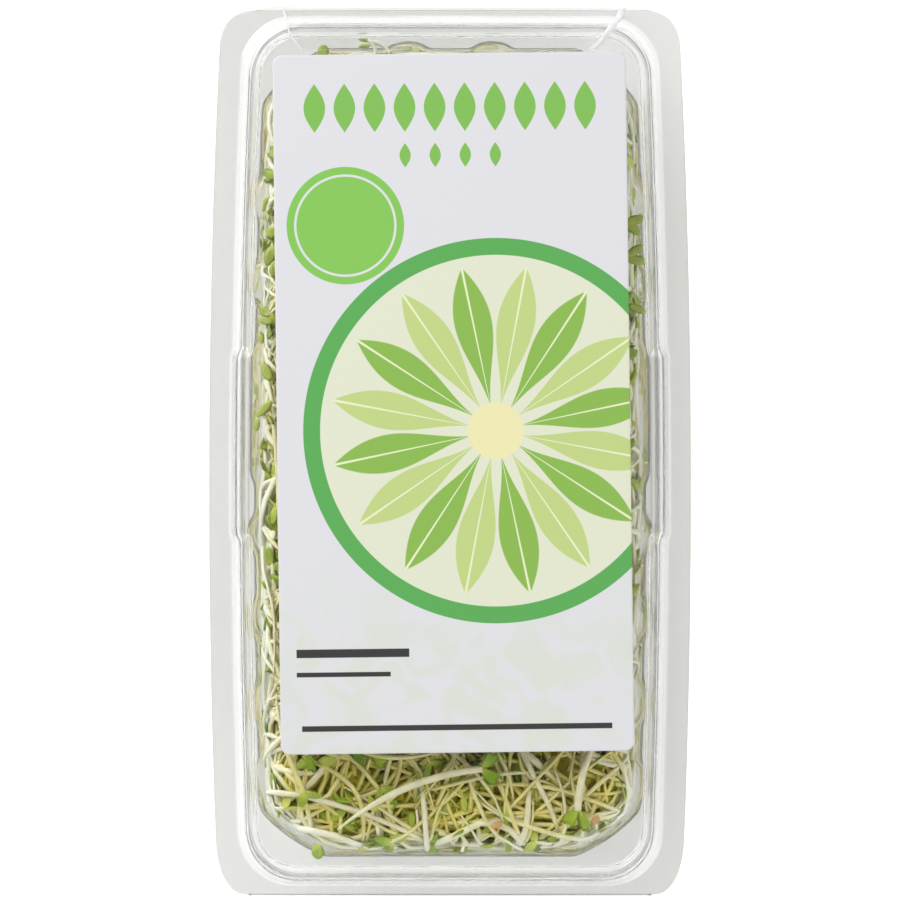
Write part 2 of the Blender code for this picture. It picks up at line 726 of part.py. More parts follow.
def make_seed_coat(number, place, turn, finish):
    """A split husk: a small bowl of a shell, open at one side."""
    bm = bmesh.new()
    bmesh.ops.create_uvsphere(bm, u_segments=8, v_segments=5, radius=1.0)
    mesh = bpy.data.meshes.new(f"seed_coat_{number}")
    for vert in bm.verts:
        hollow = 0.55 * max(0.0, vert.co.z) * max(0.0, 1.0 - vert.co.x ** 2)
        vert.co.z -= hollow
        vert.co = vert.co * Vector(HUSK_SIZE)
    bm.to_mesh(mesh)
    bm.free()
    mesh.materials.append(finish)
    obj = bpy.data.objects.new(f"seed_coat_{number}", mesh)
    x, y = (v * MM for v in place)
    obj.location = (x, y, float(pile_top(x, y)) + 0.8 * MM)
    obj.rotation_euler = (0, 0, math.radians(turn))
    bpy.context.scene.collection.objects.link(obj)
    return obj


def hang(moving):
    """Puts an empty on the living hinge's axis and hangs the moving pieces on it."""
    hinge = bpy.data.objects.new("lid_hinge", None)
    hinge.location = (0.0, HINGE_Y, FLANGE_Z)
    bpy.context.scene.collection.objects.link(hinge)
    for obj in moving:
        obj.parent = hinge
        obj.location -= hinge.location


def main():
    clear_scene()
    clear_plastic = material("clear_plastic", (0.93, 0.95, 0.94), 0.06, alpha=0.25)
    paper = material("label_paper", (0.91, 0.91, 0.92), 0.45)
    clear_film = material("clear_film", (0.95, 0.96, 0.96), 0.08, alpha=0.2)
    sprout = material("sprouts", (0.80, 0.82, 0.52), 0.5)
    husk = material("seed_coat", (0.62, 0.36, 0.14), 0.6)
    make_tray(clear_plastic)
    lid = make_lid(clear_plastic)
    label = make_label(paper)
    seal_strip = make_seal_strip(clear_film)
    hang([lid, label, seal_strip])
    make_pile(sprout)
    for number, loose in enumerate(LOOSE_SPROUTS, start=1):
        make_loose_sprout(number, *loose, sprout)
    for number, (place, turn) in enumerate(SEED_COATS, start=1):
        make_seed_coat(number, place, turn, husk)


main()
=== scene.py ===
# %% [markdown]
# # A clear pack of mixed sprouts
#
# The real object is a hinged punnet of thin clear plastic. It is filled with alfalfa and
# broccoli sprouts, and a paper label covers most of its lid. This lesson builds what the camera
# sees of it over the CAD model, which fixes every size and place.
#
# Two things make such a pack believable. The plastic has to bend light at every fold, so it is a
# real sheet with two sides and rounded folds. The sprouts have to be many thin stems that cross
# in layers, so they are made thousands at a time, as whole arrays.

import math

import bpy
import numpy as np
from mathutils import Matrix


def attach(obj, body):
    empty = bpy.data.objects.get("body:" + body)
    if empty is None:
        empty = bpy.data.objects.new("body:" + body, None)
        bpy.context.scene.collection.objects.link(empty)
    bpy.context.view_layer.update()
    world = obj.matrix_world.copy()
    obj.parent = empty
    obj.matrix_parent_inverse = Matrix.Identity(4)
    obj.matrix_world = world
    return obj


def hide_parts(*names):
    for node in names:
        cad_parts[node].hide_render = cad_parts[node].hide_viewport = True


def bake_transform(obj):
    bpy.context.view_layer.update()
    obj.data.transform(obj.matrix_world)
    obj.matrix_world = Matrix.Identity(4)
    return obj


MM = 0.001
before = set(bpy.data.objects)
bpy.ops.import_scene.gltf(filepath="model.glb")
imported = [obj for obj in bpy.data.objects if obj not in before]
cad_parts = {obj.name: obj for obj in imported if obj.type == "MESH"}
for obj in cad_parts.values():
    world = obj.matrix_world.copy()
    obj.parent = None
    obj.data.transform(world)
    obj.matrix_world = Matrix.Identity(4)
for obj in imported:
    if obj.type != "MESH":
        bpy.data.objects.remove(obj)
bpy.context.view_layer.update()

# %% [markdown]
# ## From arrays to a mesh
#
# Every surface below is an array of points, worked out in millimetres. Blender could take them
# one vertex at a time, but foreach_set hands over a whole array in one step, which is much
# faster. A grid whose columns close into a ring serves for sheets, stems and leaves alike.

# %% Mesh helpers


def ring_quads(rows, columns):
    """Faces of a grid of rows, each a closed ring: point c of row r joins c and c + 1 above."""
    start = np.arange(rows - 1)[:, None] * columns
    here = np.arange(columns)[None, :]
    following = (here + 1) % columns
    quads = [start + here, start + following, start + columns + following, start + columns + here]
    return np.stack(quads, axis=-1).reshape(-1, 4)


def capped(rows, columns):
    """Faces of the same grid, with one face more to close each of its two ends."""
    ring = np.arange(columns)
    return [ring_quads(rows, columns), ring[None, ::-1], ((rows - 1) * columns + ring)[None]]


def many_capped(n, rows, columns):
    """Faces of n such grids that follow each other in one array of points."""
    first = (np.arange(n) * rows * columns)[:, None, None]
    return [(faces[None] + first).reshape(-1, faces.shape[1]) for faces in capped(rows, columns)]


def put_mesh(name, points, face_sets, finish, marks=None):
    """A smooth mesh object from points in mm and arrays of faces.

    marks holds named arrays with one number for each point, for the material to read.
    """
    points = np.asarray(points, np.float32).reshape(-1, 3) * MM
    corners = np.concatenate([faces.ravel() for faces in face_sets])
    sizes = np.concatenate([np.full(len(faces), faces.shape[1]) for faces in face_sets])
    starts = np.concatenate([[0], np.cumsum(sizes)[:-1]])
    mesh = bpy.data.meshes.new(name)
    mesh.vertices.add(len(points))
    mesh.vertices.foreach_set("co", points.ravel())
    mesh.loops.add(len(corners))
    mesh.loops.foreach_set("vertex_index", corners.astype(np.int32))
    mesh.polygons.add(len(sizes))
    mesh.polygons.foreach_set("loop_start", starts.astype(np.int32))
    mesh.update(calc_edges=True)
    mesh.validate()
    mesh.shade_smooth()
    for mark, values in (marks or {}).items():
        attribute = mesh.attributes.new(mark, "FLOAT", "POINT")
        attribute.data.foreach_set("value", np.asarray(values, np.float32).ravel())
    mesh.materials.append(finish)
    piece = bpy.data.objects.new(name, mesh)
    bpy.context.scene.collection.objects.link(piece)
    triangles = int((sizes - 2).sum())
    print(f"{name}: {len(points)} points, {triangles} triangles")
    return piece


# %% [markdown]
# ## Node helpers
#
# Materials are node trees. Adding nodes by hand in the Shader Editor is fine for one, but here a
# small helper adds a node, sets its values and links its inputs in one line.

# %% Node helpers


def feed(tree, node, links):
    """Links into a node: each input's name or number with the socket that feeds it."""
    for key, socket in links.items():
        tree.links.new(socket, node.inputs[key])


def add(tree, kind, values=None, links=None, **settings):
    """A new node in tree, with settings, input values and links from other sockets."""
    made = tree.nodes.new(kind)
    for key, value in settings.items():
        setattr(made, key, value)
    for key, value in (values or {}).items():
        made.inputs[key].default_value = value
    feed(tree, made, links or {})
    return made


def new_material(name):
    """An empty material with its output node and a Principled shader."""
    made = bpy.data.materials.new(name)
    made.use_nodes = True
    tree = made.node_tree
    tree.nodes.clear()
    shader = tree.nodes.new("ShaderNodeBsdfPrincipled")
    output = tree.nodes.new("ShaderNodeOutputMaterial")
    feed(tree, output, {"Surface": shader.outputs[0]})
    return made, tree, shader, output


def new_group(name, inputs, outputs):
    """An empty shader node group with named sockets, given as (name, kind, value)."""
    tree = bpy.data.node_groups.new(name, "ShaderNodeTree")
    for label, kind, value in inputs:
        socket = tree.interface.new_socket(label, in_out="INPUT", socket_type=kind)
        if value is not None:
            socket.default_value = value
    for label, kind in outputs:
        tree.interface.new_socket(label, in_out="OUTPUT", socket_type=kind)
    return tree, tree.nodes.new("NodeGroupInput"), tree.nodes.new("NodeGroupOutput")


def mixed(tree, share, first, second):
    """A colour between first and second by share. Each is three numbers or a socket."""
    made = add(tree, "ShaderNodeMix", None, {0: share}, data_type="RGBA")
    for socket, value in ((made.inputs[6], first), (made.inputs[7], second)):
        if isinstance(value, tuple):
            socket.default_value = (*value, 1.0)
        else:
            tree.links.new(value, socket)
    return made.outputs[2]


# %% [markdown]
# ## Outlines of the pack
#
# Tray and lid are drawn from one flat sheet, so each of their folds runs once round the pack. It
# could be modelled by hand with loop cuts, but every fold is the same kind of outline: two long
# sides that bow out a little, two ends, and four corners that are round or cut off. One function
# draws them all, always with the same number of points, so that any two can be joined.

# %% Outlines
SIDE_POINTS, END_POINTS, CORNER_POINTS = 230, 104, 20
WIDEST_Y, DRAW_IN, BOW_REACH = -8.0, 1.9, 87.0


def draw_in(y):
    """How far a long side lies inside its widest line: grows with the square of the distance."""
    return DRAW_IN * ((y - WIDEST_Y) / BOW_REACH) ** 2


def corner_points(centre, reach, quarter, straight):
    """A quarter ellipse round centre, pulled towards its chord by the share straight."""
    share = (np.arange(CORNER_POINTS) / CORNER_POINTS)[:, None]
    angle = 0.5 * np.pi * (quarter + share)
    arc = np.hstack([np.cos(angle), np.sin(angle)])
    first, last = (np.array([math.cos(a), math.sin(a)])
                   for a in (0.5 * math.pi * quarter, 0.5 * math.pi * (quarter + 1)))
    chord = first * (1 - share) + last * share
    return np.array(centre) + (arc * (1 - straight) + chord * straight) * np.array(reach)


def softened(points, times):
    """Points of a closed line, each moved towards the mean of its neighbours."""
    for _ in range(times):
        points = 0.5 * points + 0.25 * (np.roll(points, 1, axis=0) + np.roll(points, -1, axis=0))
    return points


def outline(size, corners, z, straight=0.0, swell=None, reach_out=None, soften=1):
    """A closed ring of points at height z, anticlockwise from above, from the right side's back.

    size is (half width, front end, back end). swell pushes the long sides out as a function of
    y, and reach_out pushes the front out as a function of x. z is a number or a function of the
    points.
    """
    half_width, front, back = size
    (front_x, front_y), (back_x, back_y) = corners
    y = np.linspace(-back + back_y, front - front_y, SIDE_POINTS, endpoint=False)
    left_y = np.linspace(front - front_y, -back + back_y, SIDE_POINTS, endpoint=False)
    right = half_width - draw_in(y) + (swell(y) if swell else 0.0)
    left = -half_width + draw_in(left_y) - (swell(left_y) if swell else 0.0)
    at_front = half_width - draw_in(front - front_y) - front_x
    at_back = half_width - draw_in(-back + back_y) - back_x
    x = np.linspace(at_front, -at_front, END_POINTS, endpoint=False)
    back_line = np.linspace(-at_back, at_back, END_POINTS, endpoint=False)
    flat = np.concatenate([
        np.stack([right, y], axis=1),
        corner_points((at_front, front - front_y), corners[0], 0, straight),
        np.stack([x, front + (reach_out(x) if reach_out else 0.0 * x)], axis=1),
        corner_points((-at_front, front - front_y), corners[0], 1, straight),
        np.stack([left, left_y], axis=1),
        corner_points((-at_back, -back + back_y), corners[1], 2, straight),
        np.stack([back_line, np.full(END_POINTS, -back)], axis=1),
        corner_points((at_back, -back + back_y), corners[1], 3, straight),
    ])
    flat = softened(flat, soften)
    height = z(flat) if callable(z) else np.full(len(flat), z)
    return np.column_stack([flat, height])


print("points in each outline:", len(outline((50, 90, 90), ((8, 8), (8, 8)), 0.0)))

# %% [markdown]
# ## From outlines to a sheet
#
# Thermoformed plastic has no sharp fold. A Bevel modifier could round them, but it struggles
# where folds lie close together. Here each inner outline is rounded as the rows are made: near
# it, the surface follows a quadratic curve from the row before to the row after.
#
# The sheet gets its second side from the surface's own normals, so light bends twice on its way
# through, as in the real plastic.

# %% Sheets
FOLD_STEPS = 6
SHEET = 0.5


def rounded_rows(rings, reaches):
    """Rows of a surface through the rings, with every inner ring rounded over its reach.

    A rounded fold is (1-t)^2 a + 2t(1-t) ring + t^2 c, where a and c lie within reach of the
    ring, towards the rings before and after it.
    """
    rows = [rings[0]]
    for before, ring, after, reach in zip(rings, rings[1:], rings[2:], reaches):
        sides = []
        for other in (before, after):
            span = np.linalg.norm(other - ring, axis=1, keepdims=True)
            sides.append(ring + (other - ring) * np.minimum(reach / span, 0.5))
        for t in np.linspace(0.0, 1.0, FOLD_STEPS):
            rows.append((1 - t) ** 2 * sides[0] + 2 * t * (1 - t) * ring + t * t * sides[1])
    rows.append(rings[-1])
    return np.stack(rows)


def make_sheet(name, rows, thickness, finish):
    """A closed sheet: rows are its upper side, and its lower side lies thickness under it."""
    along = np.gradient(rows, axis=0)
    around = np.roll(rows, -1, axis=1) - np.roll(rows, 1, axis=1)
    normal = np.cross(around, along)
    normal /= np.linalg.norm(normal, axis=-1, keepdims=True)
    under = rows - normal * thickness
    tilt = 1.0 - np.abs(normal[..., 2])
    outward = -along[0] / np.linalg.norm(along[0], axis=-1, keepdims=True)
    rim = 0.5 * (rows[0] + under[0]) + outward * 0.2 * thickness
    grid = np.concatenate([under[::-1], rim[None], rows])
    return put_mesh(name, grid, capped(*grid.shape[:2]), finish,
                    {"tilt": np.concatenate([tilt[::-1], tilt[:1], tilt])})


# %% [markdown]
# ## Clear plastic
#
# The real sheet is glossy PET. Alpha would fade it evenly, while a glass shader bends what is
# behind each fold and shows the folds as thin lines, so transmission is used. Lamps should still
# reach the sprouts, so shadow rays pass through a Transparent shader instead.
#
# Formed plastic is never quite flat, so a wide, faint waviness is added as bump. It is also
# stretched where it is steep, which makes it hazy and thin there, and its round folds catch the
# lamps, so each point carries its tilt. The tint is partly the plastic's own and partly painted
# shade and light: on the flats it is greyer than clear plastic and dims what shows through as
# shade would, and on the steep folds it is near white, painted light that lifts the dark lines
# they would show. The same group serves the lid, the film, and the tray, which is wet inside
# and so a little milky.

# %% Clear plastic material
waviness, group_in, group_out = new_group(
    "Sheet waviness",
    [("Coordinates", "NodeSocketVector", None), ("Wave size", "NodeSocketFloat", 60.0),
     ("Haze", "NodeSocketFloat", 0.03), ("Tilt", "NodeSocketFloat", 0.0),
     ("Stretch haze", "NodeSocketFloat", 0.25),
     ("Flat Color", "NodeSocketColor", (0.8, 0.8, 0.8, 1.0)),
     ("Fold Color", "NodeSocketColor", (0.97, 0.97, 0.97, 1.0))],
    [("Color", "NodeSocketColor"), ("Height", "NodeSocketFloat"),
     ("Roughness", "NodeSocketFloat"), ("Shine", "NodeSocketFloat")],
)
broad = add(waviness, "ShaderNodeTexNoise", {"Detail": 2.0, "Roughness": 0.45},
            {"Vector": group_in.outputs["Coordinates"], "Scale": group_in.outputs["Wave size"]})
specks = add(waviness, "ShaderNodeTexNoise", {"Scale": 420.0, "Detail": 3.0},
             {"Vector": group_in.outputs["Coordinates"]})
haze = add(waviness, "ShaderNodeMath", None,
           {0: specks.outputs["Fac"], 1: group_in.outputs["Haze"]}, operation="MULTIPLY")
stretched = add(waviness, "ShaderNodeMath", None,
                {0: group_in.outputs["Tilt"], 1: group_in.outputs["Stretch haze"],
                 2: haze.outputs[0]}, operation="MULTIPLY_ADD")
steep = add(waviness, "ShaderNodeMapRange", {"From Max": 0.3}, {"Value": group_in.outputs["Tilt"]})
# Painted shade and light: the tint is grey on the flats and near white on the steep folds.
painted_sheet_tint = mixed(waviness, steep.outputs[0], group_in.outputs["Flat Color"],
                group_in.outputs["Fold Color"])
shine = add(waviness, "ShaderNodeMapRange", {"From Min": 0.01, "From Max": 0.06},
            {"Value": group_in.outputs["Tilt"]})
feed(waviness, group_out, {"Color": painted_sheet_tint, "Height": broad.outputs["Fac"],
                           "Roughness": stretched.outputs[0], "Shine": shine.outputs[0]})


THROUGH_SHADE = (0.985, 0.985, 0.985, 1.0)


def clear_sheet(name, colour, bending, wave_size, wave_height, haze_amount, milk=0.0):
    """A glossy clear plastic: it bends what the camera sees and lets the lamps' rays through.

    milk is the share of light that it scatters instead.
    """
    made, tree, shader, output = new_material(name)
    where = add(tree, "ShaderNodeTexCoord")
    tilt = add(tree, "ShaderNodeAttribute", attribute_name="tilt")
    surface = add(tree, "ShaderNodeGroup",
                  {"Wave size": wave_size, "Haze": haze_amount, "Flat Color": (*colour, 1.0)},
                  {"Coordinates": where.outputs["Object"], "Tilt": tilt.outputs["Fac"]},
                  node_tree=waviness)
    bump = add(tree, "ShaderNodeBump", {"Strength": 0.5, "Distance": wave_height},
               {"Height": surface.outputs["Height"]})
    feed(tree, shader, {
        "Roughness": surface.outputs["Roughness"], "Normal": bump.outputs["Normal"],
        "Base Color": surface.outputs["Color"], "Coat Weight": surface.outputs["Shine"]})
    shader.inputs["Transmission Weight"].default_value = 1.0 - milk
    shader.inputs["IOR"].default_value = bending
    lamps = add(tree, "ShaderNodeLightPath")
    through = add(tree, "ShaderNodeBsdfTransparent", {"Color": THROUGH_SHADE})
    mix = add(tree, "ShaderNodeMixShader", None,
              {0: lamps.outputs["Is Shadow Ray"], 1: shader.outputs[0], 2: through.outputs[0]})
    feed(tree, output, {"Surface": mix.outputs[0]})
    return made


# Painted shade: these flat tints are greyer than the plastic's own, so what shows through is
# dimmed.
clear_plastic = clear_sheet("Clear PET", (0.755, 0.755, 0.752), 1.17, 60.0, 0.00007, 0.04)
wet_plastic = clear_sheet("Wet PET", (0.82, 0.828, 0.81), 1.13, 60.0, 0.00007, 0.06, 0.14)
clear_film = clear_sheet("Clear film", (0.96, 0.965, 0.96), 1.09, 120.0, 0.0003, 0.05)
print("clear materials:", clear_plastic.name, wet_plastic.name, clear_film.name)

# %% [markdown]
# ## Tray
#
# The tray is one formed sheet. From its edge inwards it has a flat flange, a raised bead that
# locks into the lid, a ledge, walls with half-round flutes that stiffen them, and a flat floor.
# Each of these folds is one outline in the list below.

# %% Tray
FLANGE_CORNERS = ((5.5, 8.0), (6.0, 12.0))
FRONT_CHAMFER, BACK_CHAMFER = (12.4, 11.5), (13.4, 9.5)
TUB_HALF_WIDTH, TUB_FRONT, TUB_BACK, TUB_DRAFT = 41.4, 85.4, 86.4, 1.6
LEDGE_Z, FLOOR_Z = 29.6, 0.5
FLUTE_DEPTH, FLUTE_WIDTH = 1.5, 8.0
FLUTE_YS, FLUTE_XS = (-71.0, -54.0, -36.0, -18.0, 36.0, 54.0), (-9.0, 9.0)
RECESS_Y, RECESS_LENGTH = 8.0, 30.0


def half_rounds(t, centres):
    """A half-round bulge at each centre: the square root of 1 minus the squared distance."""
    away = np.abs(t[:, None] - np.array(centres)).min(axis=1)
    return np.sqrt(np.clip(1.0 - (2.0 * away / FLUTE_WIDTH) ** 2, 0.0, 1.0))


def plateau(t, centre, half_length, ramp):
    """1 within half_length of centre, falling along a cosine to 0 over ramp."""
    away = (np.abs(t - centre) - half_length) / ramp
    return 0.5 + 0.5 * np.cos(np.pi * np.clip(away + 0.5, 0.0, 1.0))


def side_flutes(share):
    """A function of y for the long sides' flutes and the shallow recess in their middle."""
    def swell(y):
        recess = 0.6 * plateau(y, RECESS_Y, 0.475 * RECESS_LENGTH, 0.05 * RECESS_LENGTH)
        return share * FLUTE_DEPTH * np.maximum(half_rounds(y, FLUTE_YS), recess)
    return swell


def end_flutes(share):
    """A function of x for the front's two flutes."""
    return lambda x: share * FLUTE_DEPTH * half_rounds(x, FLUTE_XS)


def tub_ring(inset, z, fluted):
    """An outline of the tub, inset from the top edge of its wall."""
    trim = min(inset, 2.4)
    corners = tuple((x - trim, y - trim) for x, y in (FRONT_CHAMFER, BACK_CHAMFER))
    size = (TUB_HALF_WIDTH - inset, TUB_FRONT - inset, TUB_BACK - inset)
    return outline(size, corners, z, straight=0.7, swell=side_flutes(fluted),
                   reach_out=end_flutes(fluted), soften=3)


bead_corners = ((11.0, 11.0), (11.0, 11.0))
tray_rings = [
    outline((51.3, 93.7, 94.8), FLANGE_CORNERS, 33.85),
    outline((50.6, 93.0, 94.1), FLANGE_CORNERS, 33.85),
    outline((45.6, 91.7, 92.0), bead_corners, 33.85),
    outline((44.9, 91.0, 91.4), bead_corners, 36.05),
    outline((44.2, 90.3, 90.7), bead_corners, 36.05),
    outline((43.6, 89.7, 90.1), bead_corners, LEDGE_Z),
    tub_ring(0.0, LEDGE_Z, 1.0),
    tub_ring(TUB_DRAFT, FLOOR_Z, 0.5),
    tub_ring(6.5, FLOOR_Z, 0.0),
    tub_ring(9.0, FLOOR_Z, 0.0),
]
tray_rows = rounded_rows(tray_rings, [0.3, 0.7, 0.5, 0.5, 0.9, 0.8, 2.6, 1.0])
tray_sheet = make_sheet("tray_sheet", tray_rows, SHEET, wet_plastic)
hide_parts("tray")
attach(tray_sheet, "tray")

# %% [markdown]
# ## Lid
#
# The lid is the other half of the same sheet. Its wall rises from the flange to a narrow band,
# and a small step leads up to the flat panel that carries the label. Two thumb tabs stand out at
# the front, and a block on each long side raises the band and grips the tray.

# %% Lid
BAND_Z, PANEL_Z = 40.0, 42.0
BLOCK_Y, BLOCK_LENGTH, BLOCK_RAMP, BLOCK_FROM_X = 1.0, 41.0, 1.6, 38.0
LIP_XS = (-43.5, -41.0, -38.0, -35.0, -32.0, 33.5, 37.0, 40.0, 42.0, 43.5)
LIP_REACH = (0.0, 0.5, 1.4, 1.5, 0.9, 0.9, 1.2, 1.5, 0.5, 0.0)


def locking_block(reach):
    """A function of y: how far the blocks in the middle of the long sides stand out."""
    return lambda y: reach * plateau(y, BLOCK_Y, 0.5 * (BLOCK_LENGTH - BLOCK_RAMP), BLOCK_RAMP)


def band_height(points):
    """The band's height, raised to the panel's along the blocks."""
    raised = locking_block(PANEL_Z - BAND_Z)(points[:, 1])
    return BAND_Z + raised * (np.abs(points[:, 0]) > BLOCK_FROM_X)


def thumb_tabs(x):
    """How far the front edge reaches out: two tabs with a shallow lip between them."""
    return np.interp(x, LIP_XS, LIP_REACH)


LID_EDGE_Z = 34.65
lid_rings = [
    outline((51.3, 93.3, 94.8), FLANGE_CORNERS, LID_EDGE_Z, reach_out=thumb_tabs, soften=12),
    outline((50.6, 93.0, 94.1), FLANGE_CORNERS, LID_EDGE_Z),
    outline((46.5, 92.6, 92.9), ((12.0, 12.0),) * 2, LID_EDGE_Z, swell=locking_block(0.4)),
    outline((44.7, 90.4, 91.7), ((11.0, 11.0),) * 2, band_height, swell=locking_block(1.0)),
    outline((43.2, 88.9, 89.6), ((9.3, 9.3),) * 2, band_height),
    outline((42.5, 88.1, 88.8), ((8.5, 8.5),) * 2, PANEL_Z),
    outline((38.0, 83.6, 84.3), ((5.0, 5.0),) * 2, PANEL_Z),
    outline((36.0, 81.6, 82.3), ((4.0, 4.0),) * 2, PANEL_Z),
]
lid_rows = rounded_rows(lid_rings, [0.3, 0.9, 0.9, 0.5, 0.7, 1.0])
lid_sheet = make_sheet("lid_sheet", lid_rows, SHEET, clear_plastic)
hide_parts("lid")
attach(lid_sheet, "lid")

# %% [markdown]
# ## Living hinge
#
# Tray and lid are one sheet, folded along their back edges. The fold is a thin half-round web,
# which on the real pack bends as the lid opens; here it is a fixed mesh in its closed shape.

# %% Living hinge
HINGE_Y, HINGE_Z, HINGE_HALF = -94.65, 34.0, 43.0
WEB_OUTER, WEB_INNER = (0.42, 0.62), (0.24, 0.44)
across_hinge = np.linspace(-0.5 * np.pi, 0.5 * np.pi, 9)
web_outer, web_inner = (
    np.stack([HINGE_Y - reach * np.cos(across_hinge), HINGE_Z + rise * np.sin(across_hinge)],
             axis=1) for reach, rise in (WEB_OUTER, WEB_INNER))
web_section = np.concatenate([web_outer, web_inner[::-1]])
web_xs = np.linspace(-HINGE_HALF, HINGE_HALF, 60)
web_points = np.stack([np.column_stack([np.full(len(web_section), x), web_section])
                       for x in web_xs])
hinge_web = put_mesh("hinge_web", web_points,
                     [faces[:, ::-1] for faces in capped(*web_points.shape[:2])], clear_plastic)
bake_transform(hinge_web)

# %% [markdown]
# ## The room inside the tub
#
# The sprouts fill the tub and are bent by its walls. To steer them, a function gives how deep
# any point lies under the nearest wall or under the top of the pile. It is a smooth least of
# seven distances, and its slope tells a stem which way is inwards.

# %% Depth inside the tub
PILE_TOP, PILE_EDGE_DROP = 36.6, 3.4


def pile_top(x, y):
    """Height of the pile's top: flat in the middle, lower towards the walls."""
    edge = np.maximum(np.abs(x) / TUB_HALF_WIDTH, np.abs(y) / TUB_FRONT)
    return PILE_TOP - PILE_EDGE_DROP * np.clip(edge, 0.0, 1.0) ** 6


def wall_gaps(points):
    """Distances to the walls and to the cut corners, as a list of arrays."""
    x, y, z = np.abs(points[..., 0]), points[..., 1], points[..., 2]
    rise = np.clip((z - FLOOR_Z) / (LEDGE_Z - FLOOR_Z), 0.0, 1.0)
    draft = TUB_DRAFT * (1.0 - rise)
    half = TUB_HALF_WIDTH - draw_in(y) - draft
    front, back = TUB_FRONT - draft, TUB_BACK - draft
    gaps = [half - x, front - y, back + y]
    for end, reach, (cx, cy) in ((1, front, FRONT_CHAMFER), (-1, back, BACK_CHAMFER)):
        across = 1.0 - (x - (half - cx)) / cx - (end * y - (reach - cy)) / cy
        gaps.append(across / math.hypot(1 / cx, 1 / cy))
    return gaps


def depth(points, softness=1.2):
    """Distance to the floor, the top and the walls: their smooth least."""
    x, y, z = points[..., 0], points[..., 1], points[..., 2]
    gaps = [z - FLOOR_Z, pile_top(x, y) - z] + wall_gaps(points)
    gaps = np.stack(gaps, axis=-1) / softness
    least = gaps.min(axis=-1, keepdims=True)
    return softness * (least[..., 0] - np.log(np.exp(least - gaps).sum(axis=-1)))


def inward(points, step=0.05):
    """Unit direction in which the depth grows."""
    slopes = [depth(points + step * axis) - depth(points - step * axis) for axis in np.eye(3)]
    grad = np.stack(slopes, axis=-1)
    return grad / np.linalg.norm(grad, axis=-1, keepdims=True)


def to_depth(points, wanted, rounds=6):
    """Moves points along the slope until they lie as deep as wanted."""
    for _ in range(rounds):
        points = points + inward(points) * (wanted - depth(points))[..., None]
    return points


def held_in(points, clearance=0.35):
    """Moves points inwards where they come nearer than clearance to the tub."""
    short = np.maximum(0.0, clearance - depth(points))
    return points + inward(points) * short[..., None]


print("depth at the middle of the pile:", round(float(depth(np.array([0.0, 0.0, 18.0]))), 1), "mm")

# %% [markdown]
# ## Stems
#
# A sprout's stem is a thin, nearly white tube. Hair curves or a particle system would give
# thousands of them quickly, but they don't survive an export, so the stems are meshes. Each one
# walks over the pile: it takes equal steps, turns a little at each, and keeps to its own depth
# under the surface, which itself rises and falls along the way.

# %% Walking stems
HEADING_SPREAD = np.array([0.55, 1.0, 0.5])
TURN_KEPT, TURN_ADDED = 0.85, 0.45
HOOKED_SHARE, HOOK_TURN, HOOK_POINTS = 0.3, 0.5, 5


def random_places(rng, count, shares):
    """Points spread over the pile's outside. shares are of left, right, back, front, top, floor."""
    half = np.array([TUB_HALF_WIDTH, TUB_FRONT, 0.5 * PILE_TOP])
    side = rng.choice(6, size=count, p=np.array(shares) / sum(shares))
    places = rng.uniform(-0.97, 0.97, size=(count, 3))
    places[np.arange(count), np.array([0, 0, 1, 1, 2, 2])[side]] = (
        0.9 * np.array([-1, 1, -1, 1, 1, -1])[side])
    return places * half + np.array([0.0, 0.0, 0.5 * PILE_TOP])


def walk(rng, starts, lengths, depths, turning, spread=HEADING_SPREAD):
    """Paths over the pile as (stems, points, 3): step, turn, then back to the wanted depth.

    Each turn keeps a part of the last one and adds a random part, so a stem bends smoothly, and
    a share of the stems curl into a hook over their last points.
    """
    n, count = depths.shape
    heading = rng.normal(size=(n, 3)) * spread
    place = to_depth(starts, depths[:, 0])
    turn = rng.normal(size=(n, 1)) * turning
    hook = rng.normal(size=(n, 1)) * (rng.random((n, 1)) < HOOKED_SHARE)
    path = [place]
    for k in range(1, count):
        normal = inward(place)
        heading = heading - normal * (heading * normal).sum(-1, keepdims=True)
        heading /= np.linalg.norm(heading, axis=-1, keepdims=True)
        turn = TURN_KEPT * turn + rng.normal(size=(n, 1)) * TURN_ADDED * turning
        angle = turn + hook * HOOK_TURN * (k > count - HOOK_POINTS)
        side = np.cross(normal, heading)
        heading = heading * np.cos(angle) + side * np.sin(angle)
        place = place + heading * (lengths / (count - 1))[:, None]
        place = to_depth(place, depths[:, k], rounds=3)
        path.append(place)
    return np.stack(path, axis=1)


def rising_depths(rng, n, count, low, high, swing):
    """A depth for every point of every stem: its own mean with a slow wave round it."""
    share = np.linspace(0.0, 1.0, count)
    mean = rng.uniform(low, high, size=(n, 1))
    pace = rng.uniform(0.5, 1.6, size=(n, 1))
    phase = rng.uniform(0.0, 2 * np.pi, size=(n, 1))
    return np.maximum(0.7, mean + swing * np.sin(2 * np.pi * pace * share + phase))


def tubes(paths, radii, normals, sides):
    """Closed tubes along many paths: each ring is the path plus its radius round the heading."""
    n, count = paths.shape[:2]
    along = np.gradient(paths, axis=1)
    along /= np.linalg.norm(along, axis=-1, keepdims=True)
    across = np.cross(normals, along)
    across /= np.linalg.norm(across, axis=-1, keepdims=True)
    up = np.cross(along, across)
    angle = (2 * np.pi * np.arange(sides) / sides)[:, None]
    circle = across[:, :, None] * np.cos(angle) + up[:, :, None] * np.sin(angle)
    points = paths[:, :, None] + circle * radii[:, :, None, None]
    return points, many_capped(n, count, sides)
